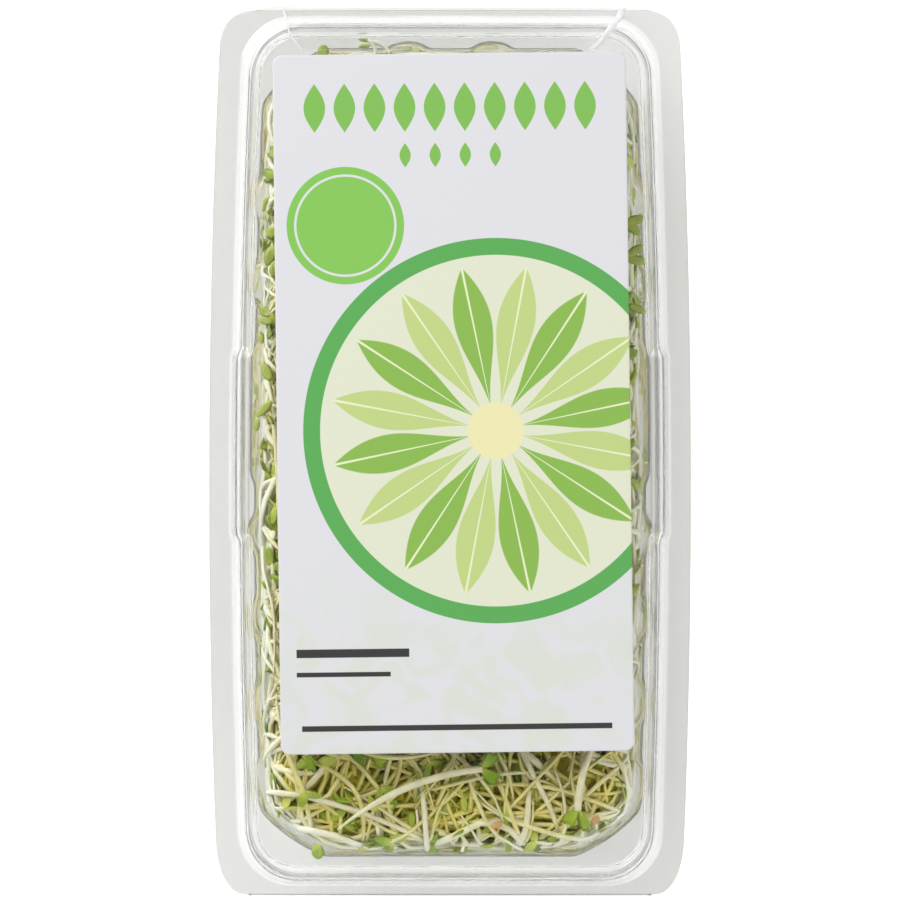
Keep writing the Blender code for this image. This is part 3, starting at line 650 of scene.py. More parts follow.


# %% [markdown]
# ## Skin of a sprout
#
# A stem is white at its root and pale yellow green at its top. Deep in the pile the light has
# passed through many stems, so what is seen there is olive and golden. Along the clear walls
# light comes in from the side, and this light is painted on the sprouts there as a pale colour.
# Each vertex carries how far up the stem it is, how deep it lies, how near a wall it is, and a
# random number of its own sprout, and one node group turns these into a colour. Stems, leaves
# and core all use it.

# %% Sprout skin group
# Painted light: the pale colour that sprouts near the clear walls are mixed towards.
PAINTED_SIDE_LIGHT = (0.93, 0.95, 0.80)
skin, group_in, group_out = new_group(
    "Sprout skin",
    [("Coordinates", "NodeSocketVector", None), ("Along", "NodeSocketFloat", 0.0),
     ("Deep", "NodeSocketFloat", 0.0), ("Tone", "NodeSocketFloat", 0.5),
     ("Root Color", "NodeSocketColor", (0.9, 0.9, 0.8, 1.0)),
     ("Tip Color", "NodeSocketColor", (0.7, 0.8, 0.4, 1.0)),
     ("Other Color", "NodeSocketColor", (0.8, 0.8, 0.5, 1.0)),
     ("Deep Color", "NodeSocketColor", (0.3, 0.28, 0.08, 1.0)),
     ("Pale", "NodeSocketFloat", 0.0), ("Mottle size", "NodeSocketFloat", 300.0)],
    [("Color", "NodeSocketColor"), ("Height", "NodeSocketFloat"),
     ("Roughness", "NodeSocketFloat")],
)
mottle = add(skin, "ShaderNodeTexNoise", {"Detail": 3.0, "Roughness": 0.6},
             {"Vector": group_in.outputs["Coordinates"], "Scale": group_in.outputs["Mottle size"]})
lengthwise = mixed(skin, group_in.outputs["Along"], group_in.outputs["Root Color"],
                   group_in.outputs["Tip Color"])
own = mixed(skin, group_in.outputs["Tone"], lengthwise, group_in.outputs["Other Color"])
dark = add(skin, "ShaderNodeMapRange", {"From Min": 0.3, "From Max": 0.75, "To Min": 0.82,
                                        "To Max": 1.08}, {"Value": mottle.outputs["Fac"]})
mottled = add(skin, "ShaderNodeVectorMath", None,
              {0: own, 1: dark.outputs[0]}, operation="MULTIPLY")
shaded = mixed(skin, group_in.outputs["Deep"], mottled.outputs[0], group_in.outputs["Deep Color"])
paled = mixed(skin, group_in.outputs["Pale"], shaded, PAINTED_SIDE_LIGHT)
wet = add(skin, "ShaderNodeMapRange", {"From Min": 0.35, "From Max": 0.65, "To Min": 0.28,
                                       "To Max": 0.5}, {"Value": mottle.outputs["Fac"]})
feed(skin, group_out, {"Color": paled, "Height": mottle.outputs["Fac"],
                       "Roughness": wet.outputs[0]})


def sprout_material(name, root, tip, other, deep, mottle_size, gloss):
    """A moist plant skin. gloss is the strength of its reflection."""
    made, tree, shader, _ = new_material(name)
    where = add(tree, "ShaderNodeTexCoord")
    marks = {mark: add(tree, "ShaderNodeAttribute", attribute_name=mark).outputs["Fac"]
             for mark in ("along", "deep", "tone", "pale")}
    colours = {"Root Color": (*root, 1.0), "Tip Color": (*tip, 1.0),
               "Other Color": (*other, 1.0), "Deep Color": (*deep, 1.0),
               "Mottle size": mottle_size}
    links = {mark.capitalize(): socket for mark, socket in marks.items()}
    look = add(tree, "ShaderNodeGroup", colours,
               {"Coordinates": where.outputs["Object"], **links}, node_tree=skin)
    bump = add(tree, "ShaderNodeBump", {"Strength": 0.25, "Distance": 0.0002},
               {"Height": look.outputs["Height"]})
    feed(tree, shader, {"Base Color": look.outputs["Color"],
                        "Roughness": look.outputs["Roughness"],
                        "Normal": bump.outputs["Normal"]})
    shader.inputs["Coat Weight"].default_value = 0.12
    shader.inputs["Coat Roughness"].default_value = 0.15
    shader.inputs["Specular IOR Level"].default_value = gloss
    return made


OLIVE_SHADE = (0.78, 0.69, 0.02)
alfalfa_stem = sprout_material("Alfalfa stem", (0.88, 0.84, 0.57), (0.82, 0.76, 0.25),
                               (0.86, 0.77, 0.29), OLIVE_SHADE, 420.0, 0.4)
broccoli_stem = sprout_material("Broccoli stem", (0.91, 0.88, 0.71), (0.86, 0.83, 0.40),
                                (0.90, 0.85, 0.56), OLIVE_SHADE, 300.0, 0.4)
alfalfa_leaf = sprout_material("Alfalfa seed leaf", (0.62, 0.68, 0.10), (0.26, 0.42, 0.01),
                               (0.66, 0.70, 0.14), (0.24, 0.30, 0.01), 500.0, 0.2)
broccoli_leaf = sprout_material("Broccoli seed leaf", (0.52, 0.62, 0.08), (0.15, 0.31, 0.01),
                                (0.42, 0.54, 0.04), (0.16, 0.24, 0.01), 400.0, 0.25)
pile_shade = sprout_material("Shaded pile", (0.66, 0.57, 0.06), (0.66, 0.57, 0.06),
                             (0.42, 0.40, 0.06), OLIVE_SHADE, 260.0, 0.1)
print("sprout materials share the group", skin.name)

# %% [markdown]
# ## Core of the pile
#
# Under the outer layers the bunch is so dense that nothing can be told apart. A dark, uneven
# core stands in for it. It is a box in latitude and longitude, moved along the slope to its
# depth, and the stems hide it on all sides.

# %% Core
CORE_ROWS, CORE_COLUMNS, CORE_DEPTH, FURROW_DEPTH, CORE_START = 60, 120, 5.2, 1.2, 0.86
core_rng = np.random.default_rng(5)
latitude = np.linspace(-0.497 * np.pi, 0.497 * np.pi, CORE_ROWS)[:, None]
longitude = (2 * np.pi * np.arange(CORE_COLUMNS) / CORE_COLUMNS)[None, :]
ball = np.stack([np.cos(latitude) * np.cos(longitude), np.cos(latitude) * np.sin(longitude),
                 np.sin(latitude) + 0 * longitude], axis=-1)
cube = ball / np.abs(ball).max(axis=-1, keepdims=True)
half_room = np.array([TUB_HALF_WIDTH, TUB_FRONT, 0.5 * PILE_TOP])
furrows = core_rng.uniform(-1.0, 1.0, cube.shape[:2])
core_points = to_depth(cube * half_room * CORE_START + np.array([0.0, 0.0, 0.5 * PILE_TOP]),
                       CORE_DEPTH + FURROW_DEPTH * furrows, rounds=12)
pile_core = put_mesh(
    "pile_core", core_points, capped(CORE_ROWS, CORE_COLUMNS), pile_shade,
    {"along": np.zeros(cube.shape[:2]), "deep": np.full(cube.shape[:2], 0.6),
     "tone": 0.5 + 0.5 * furrows})
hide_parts("sprout_pile")
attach(pile_core, "tray")

# %% [markdown]
# ## The tangle
#
# Two kinds of stem make up the pile: many thin alfalfa stems and fewer, thicker ones of
# broccoli. They are laid in three layers, from deep to high, over all sides of the pile. Each
# tube has few faces round it, because a stem is only a few pixels wide.

# %% Stems of the pile
STEM_POINTS, STEM_SIDES = 13, 5
ALL_SIDES = (8, 8, 5, 5, 20, 12)
STEM_TURNING = 0.13
SHADE_FROM, SHADE_OVER = 1.2, 3.4
WALL_REACH, LIGHT_FROM_Z, LIGHT_OVER_Z = 3.6, 16.0, 12.0


def stem_marks(points, sprout_tone):
    """The marks of every point: share of the length, depth as 0 to 1, tone, nearness to a wall.

    deep starts at SHADE_FROM mm and is full SHADE_OVER mm further in. pale grows over WALL_REACH
    mm towards a wall, and with the height above LIGHT_FROM_Z, because more light comes in there.
    """
    n, count = points.shape[:2]
    along = np.broadcast_to(np.linspace(0.0, 1.0, count)[None, :, None], points.shape[:3])
    deep = np.clip((depth(points) - SHADE_FROM) / SHADE_OVER, 0.0, 1.0)
    tone = np.broadcast_to(sprout_tone[:, None, None], points.shape[:3])
    # Painted light: pale stands for the light that comes in through the clear walls.
    wall = np.clip(1.4 - np.stack(wall_gaps(points)).min(axis=0) / WALL_REACH, 0.0, 1.0)
    pale = wall * np.clip((points[..., 2] - LIGHT_FROM_Z) / LIGHT_OVER_Z, 0.15, 1.0)
    return {"along": along, "deep": deep, "tone": tone, "pale": pale}


def make_stems(name, seed, count, layer, lengths, radii, finish, shares=ALL_SIDES):
    """A piece with many stems of one kind. Returns their paths for the leaves to sit on.

    Radius = thick * (0.35 + 2.2 * share, at most 1) * (1 - 0.15 * share): thin at the root, full
    from about a third on, a little thinner at the top.
    """
    rng = np.random.default_rng(seed)
    low, high, swing = layer
    depths = rising_depths(rng, count, STEM_POINTS, low, high, swing)
    paths = walk(rng, random_places(rng, count, shares), rng.uniform(*lengths, size=count),
                 depths, STEM_TURNING)
    share = np.linspace(0.0, 1.0, STEM_POINTS)
    thick = rng.uniform(*radii, size=(count, 1))
    radius = thick * np.clip(0.35 + 2.2 * share, 0.0, 1.0) * (1.0 - 0.15 * share)
    normals = -inward(paths)
    points, faces = tubes(paths, radius, normals, STEM_SIDES)
    points = held_in(points)
    piece = put_mesh(name, points, faces, finish, stem_marks(points, rng.random(count)))
    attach(piece, "tray")
    return paths, normals


HIGH, MIDDLE, LOW = (0.9, 2.4, 0.7), (2.0, 4.0, 1.0), (3.4, 5.6, 1.0)
alfalfa_high = make_stems("alfalfa_stems_high", 11, 360, HIGH, (26, 46), (0.42, 0.62), alfalfa_stem)
alfalfa_middle = make_stems("alfalfa_stems_middle", 12, 760, MIDDLE, (28, 48), (0.45, 0.68),
                            alfalfa_stem)
alfalfa_low = make_stems("alfalfa_stems_low", 13, 760, LOW, (28, 48), (0.5, 0.75), alfalfa_stem)
broccoli_high = make_stems("broccoli_stems_high", 14, 110, HIGH, (30, 52), (0.68, 0.95),
                           broccoli_stem)
broccoli_middle = make_stems("broccoli_stems_middle", 15, 280, MIDDLE, (30, 52), (0.7, 1.0),
                             broccoli_stem)

# %% [markdown]
# ## Seed leaves
#
# Every sprout opens two seed leaves. Alfalfa has small ovals, broccoli has broader ones with a
# notch in the tip. A leaf is a flattened tube: rows run from its stalk to its tip, and each row
# is a ring squeezed to a thin lens. The rows' width follows the leaf's outline, the notch pulls
# the middle of the last rows back, and a bend across each row makes the leaf a shallow cup.

# %% Seed leaf shapes
LEAF_ROWS, LEAF_SIDES = 7, 6
BROCCOLI_NOTCH = 0.34


def leaf_blades(base, heading, normal, length, width, notch, cup):
    """Points of many leaves as (leaves, rows, sides, 3).

    Position = base + heading * length * (s - notch * (1 - |c|) * s^4) + side * c * width(s)
    + normal * (thickness(s) * h + cup * c^2 * width(s) - droop * s^2), where c and h go once
    round the lens.
    """
    side = np.cross(normal, heading)
    s = np.linspace(0.0, 1.0, LEAF_ROWS)[None, :, None]
    angle = (2 * np.pi * np.arange(LEAF_SIDES) / LEAF_SIDES)[None, None, :]
    c, h = np.cos(angle), np.sin(angle)
    notch, cup = notch[:, None, None], cup[:, None, None]
    length, width = length[:, None, None], width[:, None, None]
    belly = np.sin(np.pi * np.clip(0.06 + 0.9 * s, 0.0, 1.0)) ** 0.6
    open_tip = np.clip(0.2 + 1.05 * s, 0.0, 1.0) ** 1.2 * np.clip(6.0 * (1.08 - s), 0.0, 1.0)
    half = 0.5 * width * (belly + (open_tip - belly) * np.clip(2.0 * notch, 0.0, 1.0))
    thick = 0.16 + 0.12 * np.sin(np.pi * s)
    forward = length * (s - notch * (1 - np.abs(c)) * s ** 4)
    lift = thick * h + cup * c * c * half - 0.12 * length * s * s
    return (base[:, None, None] + heading[:, None, None] * forward[..., None]
            + side[:, None, None] * (c * half)[..., None]
            + normal[:, None, None] * lift[..., None])


def turned(vectors, axes, angles):
    """Vectors turned about unit axes by angles, by Rodrigues' formula."""
    c, s = np.cos(angles)[:, None], np.sin(angles)[:, None]
    along = (vectors * axes).sum(-1, keepdims=True)
    return vectors * c + np.cross(axes, vectors) * s + axes * along * (1 - c)


def leaf_pairs(rng, tips, headings, normals, lengths, widths, notch):
    """Two leaves on every tip, opened to both sides and tilted at random."""
    n = len(tips)
    opening = rng.uniform(0.25, 1.25, n)
    tilt = rng.normal(size=n) * 0.5
    normals = turned(normals, headings, tilt)
    blades = []
    for way in (-1.0, 1.0):
        heading = turned(headings, normals, way * opening)
        normal = turned(normals, heading, rng.normal(size=n) * 0.45)
        length, width = rng.uniform(*lengths, size=n), rng.uniform(*widths, size=n)
        blades.append(leaf_blades(tips - heading * 0.3, heading, normal, length, width,
                                  np.full(n, notch), rng.uniform(0.1, 0.45, n)))
    return np.concatenate(blades)


def put_leaves(name, blades, tones, finish, lowest=0.3):
    """A piece with many leaves, held inside the tub."""
    blades = held_in(blades, lowest)
    marks = stem_marks(blades, tones)
    marks["along"] = np.clip(1.8 * marks["along"], 0.0, 1.0)
    marks["deep"] = 0.8 * marks["deep"]
    marks["pale"] = 0.1 * marks["pale"]
    faces = many_capped(len(blades), LEAF_ROWS, LEAF_SIDES)
    piece = put_mesh(name, blades, faces, finish, marks)
    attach(piece, "tray")


# %% [markdown]
# The leaves sit on the tips of stems that were laid before. Only some tips get a pair: the
# others point down into the pile with their leaves out of sight.

# %% Leaves of the pile


def tips_of(rng, stems, share):
    """Tip, heading and outward normal of a random share of the stems."""
    paths, normals = stems
    chosen = rng.random(len(paths)) < share
    heading = paths[chosen, -1] - paths[chosen, -2]
    normal = normals[chosen, -1]
    heading = heading - normal * (heading * normal).sum(-1, keepdims=True)
    heading /= np.linalg.norm(heading, axis=-1, keepdims=True)
    return paths[chosen, -1], heading, normal


def leaves_on(name, seed, layers, shares, lengths, widths, notch, finish):
    """One piece with the leaf pairs of several layers of stems."""
    rng = np.random.default_rng(seed)
    sets = [tips_of(rng, stems, share) for stems, share in zip(layers, shares)]
    tips, headings, normals = (np.concatenate(parts) for parts in zip(*sets))
    blades = leaf_pairs(rng, tips, headings, normals, lengths, widths, notch)
    tones = np.tile(rng.random(len(tips)), 2)
    put_leaves(name, blades, tones, finish)


leaves_on("alfalfa_leaves", 21, (alfalfa_high, alfalfa_middle, alfalfa_low),
          (0.9, 0.7, 0.35), (3.0, 4.4), (1.8, 2.5), 0.0, alfalfa_leaf)
leaves_on("broccoli_leaves", 22, (broccoli_high, broccoli_middle),
          (0.9, 0.7), (3.6, 5.0), (3.0, 4.2), BROCCOLI_NOTCH, broccoli_leaf)

# %% [markdown]
# ## Loose sprouts on top
#
# A few whole sprouts lie on the pile, where their full length shows. Each follows the path that
# its CAD solid has: it starts at a root, bends evenly and ends in two leaves.

# %% Loose sprouts
LOOSE_LIFT, BROCCOLI_RADIUS, ALFALFA_RADIUS = 1.2, 0.8, 0.58
LOOSE_SPROUTS = [
    ("broccoli_sprout_1", (-24.0, -81.0), 40, 34, -34),
    ("broccoli_sprout_2", (33.0, -58.0), -122, 20, 30),
    ("alfalfa_sprout_3", (-37.0, -52.0), -86, 22, 24),
    ("alfalfa_sprout_4", (-2.0, -64.0), 200, 22, -50),
    ("broccoli_sprout_5", (36.0, -38.0), 86, 38, 8),
    ("alfalfa_sprout_6", (-36.5, -24.0), 88, 30, 8),
    ("broccoli_sprout_7", (-12.0, 30.0), 70, 44, -60),
    ("alfalfa_sprout_8", (8.0, -30.0), 112, 34, 60),
]


def loose_path(root, heading, length, bend, count=22):
    """A bent line over the pile: the heading turns evenly and each step adds to the last."""
    share = np.linspace(0.0, 1.0, count)
    middle = 0.5 * (share[1:] + share[:-1])
    angle = np.radians(heading + bend * middle)
    steps = np.stack([np.cos(angle), np.sin(angle)], axis=1) * length / (count - 1)
    flat = np.vstack([[0.0, 0.0], np.cumsum(steps, axis=0)]) + np.array(root)
    return np.column_stack([flat, pile_top(flat[:, 0], flat[:, 1]) + LOOSE_LIFT])


def make_loose(number, node, root, heading, length, bend):
    """A whole sprout in two pieces, its stem and its leaves, that stands for one CAD node."""
    rng = np.random.default_rng(100 + number)
    broccoli = node.startswith("broccoli")
    path = loose_path(root, heading, length, bend)[None]
    share = np.linspace(0.0, 1.0, path.shape[1])
    path[0, :, 2] += 0.25 * np.sin(2 * np.pi * 1.5 * share + number)
    radius = ((BROCCOLI_RADIUS if broccoli else ALFALFA_RADIUS)
              * np.clip(0.25 + 1.8 * share, 0.0, 1.0)[None])
    up = np.broadcast_to([0.0, 0.0, 1.0], path.shape)
    points, faces = tubes(path, radius, up, 10)
    marks = stem_marks(points, rng.random(1))
    stem_finish, leaf_finish = ((broccoli_stem, broccoli_leaf) if broccoli
                                else (alfalfa_stem, alfalfa_leaf))
    stem = put_mesh(node + "_stem", points, faces, stem_finish, marks)
    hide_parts(node)
    heading_end = path[0, -1] - path[0, -2]
    heading_end[2] = 0.0
    heading_end /= np.linalg.norm(heading_end)
    lengths, widths = ((4.2, 5.4), (3.4, 4.2)) if broccoli else ((3.4, 4.2), (2.0, 2.5))
    blades = leaf_pairs(rng, path[:, -1], heading_end[None], up[:, -1], lengths, widths,
                        BROCCOLI_NOTCH if broccoli else 0.0)
    put_leaves(node + "_leaves", blades, np.tile(rng.random(1), 2), leaf_finish, -3.0)
    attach(stem, "tray")


for number, (node, *rest) in enumerate(LOOSE_SPROUTS):
    make_loose(number, node, *rest)

# %% [markdown]
# ## Stray bits
#
# A few leaves and root ends have slipped out of the pile. They lie on the tray's ledge or at the
# pile's edge, against the lid. They are made as the others are, each at its own place.

# %% Stray leaves and roots
ON_LEDGE, ON_PILE = LEDGE_Z + 1.2, 35.2
STRAY_LEAVES = [
    (-27.1, 84.0, ON_LEDGE, 88, 2.5, 2.5), (-28.4, -84.2, ON_LEDGE, -84, 3.2, 2.7),
    (-16.8, 87.4, ON_LEDGE, 172, 2.8, 0.9), (-17.0, 86.3, ON_LEDGE, 184, 2.6, 0.9),
    (37.6, 48.6, ON_PILE, 14, 4.0, 2.1), (37.6, 48.3, ON_PILE, -38, 3.8, 2.0),
    (37.7, 41.2, ON_PILE, 36, 4.2, 2.0), (37.7, 40.8, ON_PILE, -8, 4.2, 2.1),
    (37.9, 31.4, ON_PILE, 68, 2.6, 1.3), (38.0, 31.0, ON_PILE, -24, 4.2, 1.8),
    (-37.4, 43.6, ON_PILE, -112, 4.6, 2.5), (-37.4, 40.2, ON_PILE, -95, 3.4, 2.0),
    (-37.8, 27.3, ON_PILE, 172, 3.0, 1.7), (-40.2, 22.7, ON_PILE, 95, 2.6, 1.5),
    (-38.2, 14.8, ON_PILE, 116, 4.2, 2.3), (-38.0, 10.4, ON_PILE, 226, 4.6, 1.9),
    (-41.0, 6.8, ON_PILE, 262, 2.8, 1.4)]
STRAY_ROOTS = [(-16.0, 84.4, 96, 3.6), (-12.8, 84.4, 128, 5.2), (2.5, -85.8, 82, 5.0)]


def straight_on(heading):
    """Unit vectors along headings given in degrees, in the ledge's plane."""
    angle = np.radians(np.asarray(heading, float))
    return np.stack([np.cos(angle), np.sin(angle), 0.0 * angle], axis=-1)


stray = np.array(STRAY_LEAVES)
stray_up = np.tile([0.0, 0.0, 1.0], (len(stray), 1))
stray_blades = leaf_blades(
    stray[:, :3], straight_on(stray[:, 3]), stray_up, stray[:, 4], stray[:, 5],
    np.zeros(len(stray)), np.full(len(stray), 0.2))
put_leaves("stray_leaves", stray_blades, np.linspace(0.0, 0.5, len(stray)), alfalfa_leaf, -9.0)
roots = np.array(STRAY_ROOTS)
root_share = np.linspace(0.0, 1.0, 8)
ROOT_BEND, ROOT_LIFT = 40.0, 1.0
root_paths = (np.column_stack([roots[:, :2], np.full(len(roots), LEDGE_Z + ROOT_LIFT)])[:, None]
              + straight_on(roots[:, 2:3] + ROOT_BEND * (root_share - 0.5))
              * (roots[:, 3:4] * root_share)[..., None])
root_up = np.broadcast_to([0.0, 0.0, 1.0], root_paths.shape)
root_points, root_faces = tubes(root_paths, 0.35 + 0.15 * np.tile(root_share, (len(roots), 1)),
                                root_up, 7)
stray_roots = put_mesh("stray_roots", root_points, root_faces, broccoli_stem,
                       stem_marks(root_points, np.array([0.2, 0.8, 0.5])))
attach(stray_roots, "tray")

# %% [markdown]
# ## Seed coats
#
# A few tan husks stay among the sprouts. Each is half a hollow bean: an oval bowl with a rolled
# edge, a surface in two angles whose upper half is pressed in.

# %% Seed coats
husk_skin = sprout_material("Seed coat", (0.62, 0.33, 0.12), (0.72, 0.45, 0.20),
                            (0.50, 0.26, 0.09), (0.30, 0.15, 0.04), 700.0, 0.4)
HUSK_ROWS, HUSK_COLUMNS = 10, 14
HUSK_SIZE, HUSK_PRESS, HUSK_LIFT = np.array([1.25, 0.8, 0.5]), 0.6, 0.8
HUSKS = [("seed_coat_1", (31.0, -79.0), 58), ("seed_coat_2", (10.0, -80.0), 20)]


def make_husk(node, place, turn):
    """An oval whose top is pressed in by a share of its height: a small open bowl."""
    lat = np.linspace(-0.48 * np.pi, 0.48 * np.pi, HUSK_ROWS)[:, None]
    lon = (2 * np.pi * np.arange(HUSK_COLUMNS) / HUSK_COLUMNS)[None, :]
    x, y = np.cos(lat) * np.cos(lon), np.cos(lat) * np.sin(lon)
    z = np.sin(lat) + 0 * lon
    z = z - HUSK_PRESS * np.maximum(0.0, z) * np.maximum(0.0, 1.0 - x * x)
    c, s = math.cos(math.radians(turn)), math.sin(math.radians(turn))
    px, py = x * HUSK_SIZE[0], y * HUSK_SIZE[1]
    height = float(pile_top(*place)) + HUSK_LIFT
    points = np.stack([place[0] + px * c - py * s, place[1] + px * s + py * c,
                       height + z * HUSK_SIZE[2]], axis=-1)
    marks = {"along": 0.5 + 0.5 * z, "deep": np.zeros(z.shape), "tone": 0.3 + 0 * z}
    husk = put_mesh(node + "_husk", points, capped(HUSK_ROWS, HUSK_COLUMNS), husk_skin, marks)
    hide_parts(node)
    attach(husk, "tray")


for node, place, turn in HUSKS:
    make_husk(node, place, turn)

# %% [markdown]
# ## Label
#
# The label is a stiff white sheet with round corners, stuck on the lid. On the real pack it is
# printed in green. Here its design is plain and generic: rows of small leaves, a round field
# with larger ones, a round patch and a few bars. It is drawn by nodes from the piece's own
# coordinates, so it stays sharp at any size. Its back, which shows through the opened lid, is
# plain.

# %% Label sheet
LABEL_SIZE, LABEL_CORNER, LABEL_THICKNESS = (75.2, 148.8), 2.0, 0.4
LABEL_CENTRE, LABEL_TURN = (0.7, 10.0), math.radians(0.7)


def label_ring(inset, z):
    """The label's outline, inset, turned and put in place: four quarter circles."""
    radius = LABEL_CORNER - inset
    points = []
    for quarter, (sx, sy) in enumerate(((1, 1), (-1, 1), (-1, -1), (1, -1))):
        centre = [sx * (0.5 * LABEL_SIZE[0] - LABEL_CORNER),
                  sy * (0.5 * LABEL_SIZE[1] - LABEL_CORNER)]
        angle = 0.5 * np.pi * (quarter + np.linspace(0.0, 1.0, 9))
        points.append(np.array(centre) + radius * np.stack([np.cos(angle), np.sin(angle)], axis=1))
    flat = np.concatenate(points)
    c, s = math.cos(LABEL_TURN), math.sin(LABEL_TURN)
    turned_flat = np.stack([flat[:, 0] * c - flat[:, 1] * s, flat[:, 0] * s + flat[:, 1] * c],
                           axis=1)
    return np.column_stack([turned_flat + np.array(LABEL_CENTRE), np.full(len(flat), z)])


LABEL_GAP, EDGE_ROUND = 0.3, 0.08
label_z = PANEL_Z + LABEL_GAP
label_rows = np.stack([
    label_ring(inset, label_z + height)
    for inset, height in ((0.1, 0.0), (0.0, EDGE_ROUND), (0.0, LABEL_THICKNESS - EDGE_ROUND),
                          (0.1, LABEL_THICKNESS), (0.5, LABEL_THICKNESS))])
print("label:", " x ".join(str(side) for side in LABEL_SIZE), "mm")

# %% [markdown]
# The print is a stack of masks. Each mask is 1 inside a shape and 0 outside, and it lays one ink
# over what is under it, as a printer does. Math nodes turn the label's own coordinates into
# distances, and a Map Range node turns a distance into a mask with a crisp edge.

# %% Helpers for the print
paper, print_tree, paper_shader, _ = new_material("Printed label")


def calc(operation, *terms):
    """A Math node on numbers or sockets."""
    made = add(print_tree, "ShaderNodeMath", operation=operation)
    for socket, term in zip(made.inputs, terms):
        if isinstance(term, (int, float)):
            socket.default_value = term
        else:
            print_tree.links.new(term, socket)
    return made.outputs[0]


def inside(distance, limit, edge=0.12):
    """A mask: 1 where distance is under limit, with an edge that is a little soft."""
    return add(print_tree, "ShaderNodeMapRange",
               {"From Min": limit - 0.5 * edge, "From Max": limit + 0.5 * edge, "To Min": 1.0,
                "To Max": 0.0}, {"Value": distance}).outputs[0]


def both(first, second):
    """A mask that is 1 where two masks are."""
    return calc("MULTIPLY", first, second)


def ink(under, mask, colour):
    """One colour printed over another where the mask is 1."""
    return mixed(print_tree, mask, under, colour)


# %% [markdown]
# A Mapping node undoes the label's turn and place, and scales metres up to millimetres, so the
# print is laid out in the label's own millimetres. It turns before it shifts, and the turn has
# carried the label's centre a little to the right, so that is taken back too. The paper has a
# faint wash of green below.

# %% Paper and wash
WHITE_PAPER, PALE_WASH = (0.70, 0.70, 0.728), (0.62, 0.68, 0.50)
WASH_TOP, WASH_FADE, WASH_STRENGTH, TURN_SHIFT = -42.0, 26.0, 0.45, 0.12
turn_back = add(print_tree, "ShaderNodeMapping",
                {"Location": (-LABEL_CENTRE[0] - TURN_SHIFT, -LABEL_CENTRE[1], 0.0),
                 "Rotation": (0.0, 0.0, -LABEL_TURN), "Scale": (1000.0, 1000.0, 0.0)},
                {"Vector": add(print_tree, "ShaderNodeTexCoord").outputs["Object"]})
label_place = turn_back.outputs[0]
label_xy = add(print_tree, "ShaderNodeSeparateXYZ", None, {0: label_place})
label_x, label_y = label_xy.outputs[0], label_xy.outputs[1]


def distance_to(centre):
    """Distance in mm from a point of the label."""
    return add(print_tree, "ShaderNodeVectorMath", {1: centre}, {0: label_place},
               operation="DISTANCE").outputs["Value"]


wash = add(print_tree, "ShaderNodeTexNoise", {"Scale": 0.09, "Detail": 3.0, "Distortion": 1.5},
           {"Vector": label_place}).outputs["Fac"]
faded = both(inside(label_y, WASH_TOP, WASH_FADE), inside(wash, 0.5, 0.2))
print_colour = ink(WHITE_PAPER, calc("MULTIPLY", faded, WASH_STRENGTH), PALE_WASH)

# %% [markdown]
# The round field has a ring of leaves. The angle round its centre, cut into equal parts, tells
# how far a point lies from the middle of its own leaf, and a sine of the distance from the
# centre gives the leaf's width there. Every other leaf is lighter.

# %% Round field
FIELD_CENTRE, FIELD_RADIUS, FIELD_RING, HUB_RADIUS = (9.0, -6.0, 0.0), 41.0, 3.6, 6.0
PETALS, PETAL_START, PETAL_WIDTH = 16.0, 5.0, 0.46
PRINT_GREEN, FIELD_CREAM, HUB_YELLOW = (0.095, 0.39, 0.085), (0.72, 0.74, 0.58), (0.80, 0.76, 0.42)
PETAL_GREEN, PETAL_LIGHT, PETAL_RIB = (0.24, 0.46, 0.07), (0.50, 0.62, 0.22), (0.78, 0.82, 0.56)
field_distance = distance_to(FIELD_CENTRE)
field_angle = calc("ARCTAN2", calc("SUBTRACT", label_y, FIELD_CENTRE[1]),
                   calc("SUBTRACT", label_x, FIELD_CENTRE[0]))
petal_turn = calc("ADD", calc("MULTIPLY", field_angle, PETALS / (2 * math.pi)), PETALS)
petal_side = calc("ABSOLUTE", calc("SUBTRACT", calc("FRACT", petal_turn), 0.5))
petal_reach = FIELD_RADIUS - FIELD_RING - PETAL_START - 2.0
petal_share = calc("MULTIPLY", calc("SUBTRACT", field_distance, PETAL_START),
                   math.pi / petal_reach)
petal_width = calc("MULTIPLY", calc("SINE", petal_share), PETAL_WIDTH)
petal_mask = both(inside(calc("SUBTRACT", petal_side, petal_width), 0.0, 0.02),
                  inside(field_distance, FIELD_RADIUS - FIELD_RING - 2.0))
petal_kind = calc("FLOORED_MODULO", calc("FLOOR", petal_turn), 2.0)
petal_ink = ink(PETAL_GREEN, petal_kind, PETAL_LIGHT)
petal_ink = ink(petal_ink, inside(petal_side, 0.018, 0.01), PETAL_RIB)
field_ink = ink(FIELD_CREAM, petal_mask, petal_ink)
field_ink = ink(field_ink, inside(field_distance, HUB_RADIUS), HUB_YELLOW)
field_ink = ink(PRINT_GREEN, inside(field_distance, FIELD_RADIUS - FIELD_RING), field_ink)
print_colour = ink(print_colour, inside(field_distance, FIELD_RADIUS), field_ink)
print("field:", 2 * FIELD_RADIUS, "mm wide with", int(PETALS), "leaves")

# %% [markdown]
# A small round patch has a thin white line inside its rim: the mask of one circle less the mask
# of a slightly smaller one.

# %% Round patch
PATCH_CENTRE, PATCH_RADIUS, PATCH_GREEN = (-22.5, 38.0, 0.0), 12.5, (0.22, 0.54, 0.09)
patch_distance = distance_to(PATCH_CENTRE)
print_colour = ink(print_colour, inside(patch_distance, PATCH_RADIUS), PATCH_GREEN)
print_colour = ink(print_colour, both(
    inside(patch_distance, PATCH_RADIUS - 1.6),
    calc("SUBTRACT", 1.0, inside(patch_distance, PATCH_RADIUS - 2.1))), WHITE_PAPER)

# %% [markdown]
# Rows of upright leaves need only one formula: the fractional part of x repeats the same leaf
# over and over, and a last mask ends the row.

# %% Rows of leaves
LIGHT_GREEN = (0.205, 0.485, 0.085)


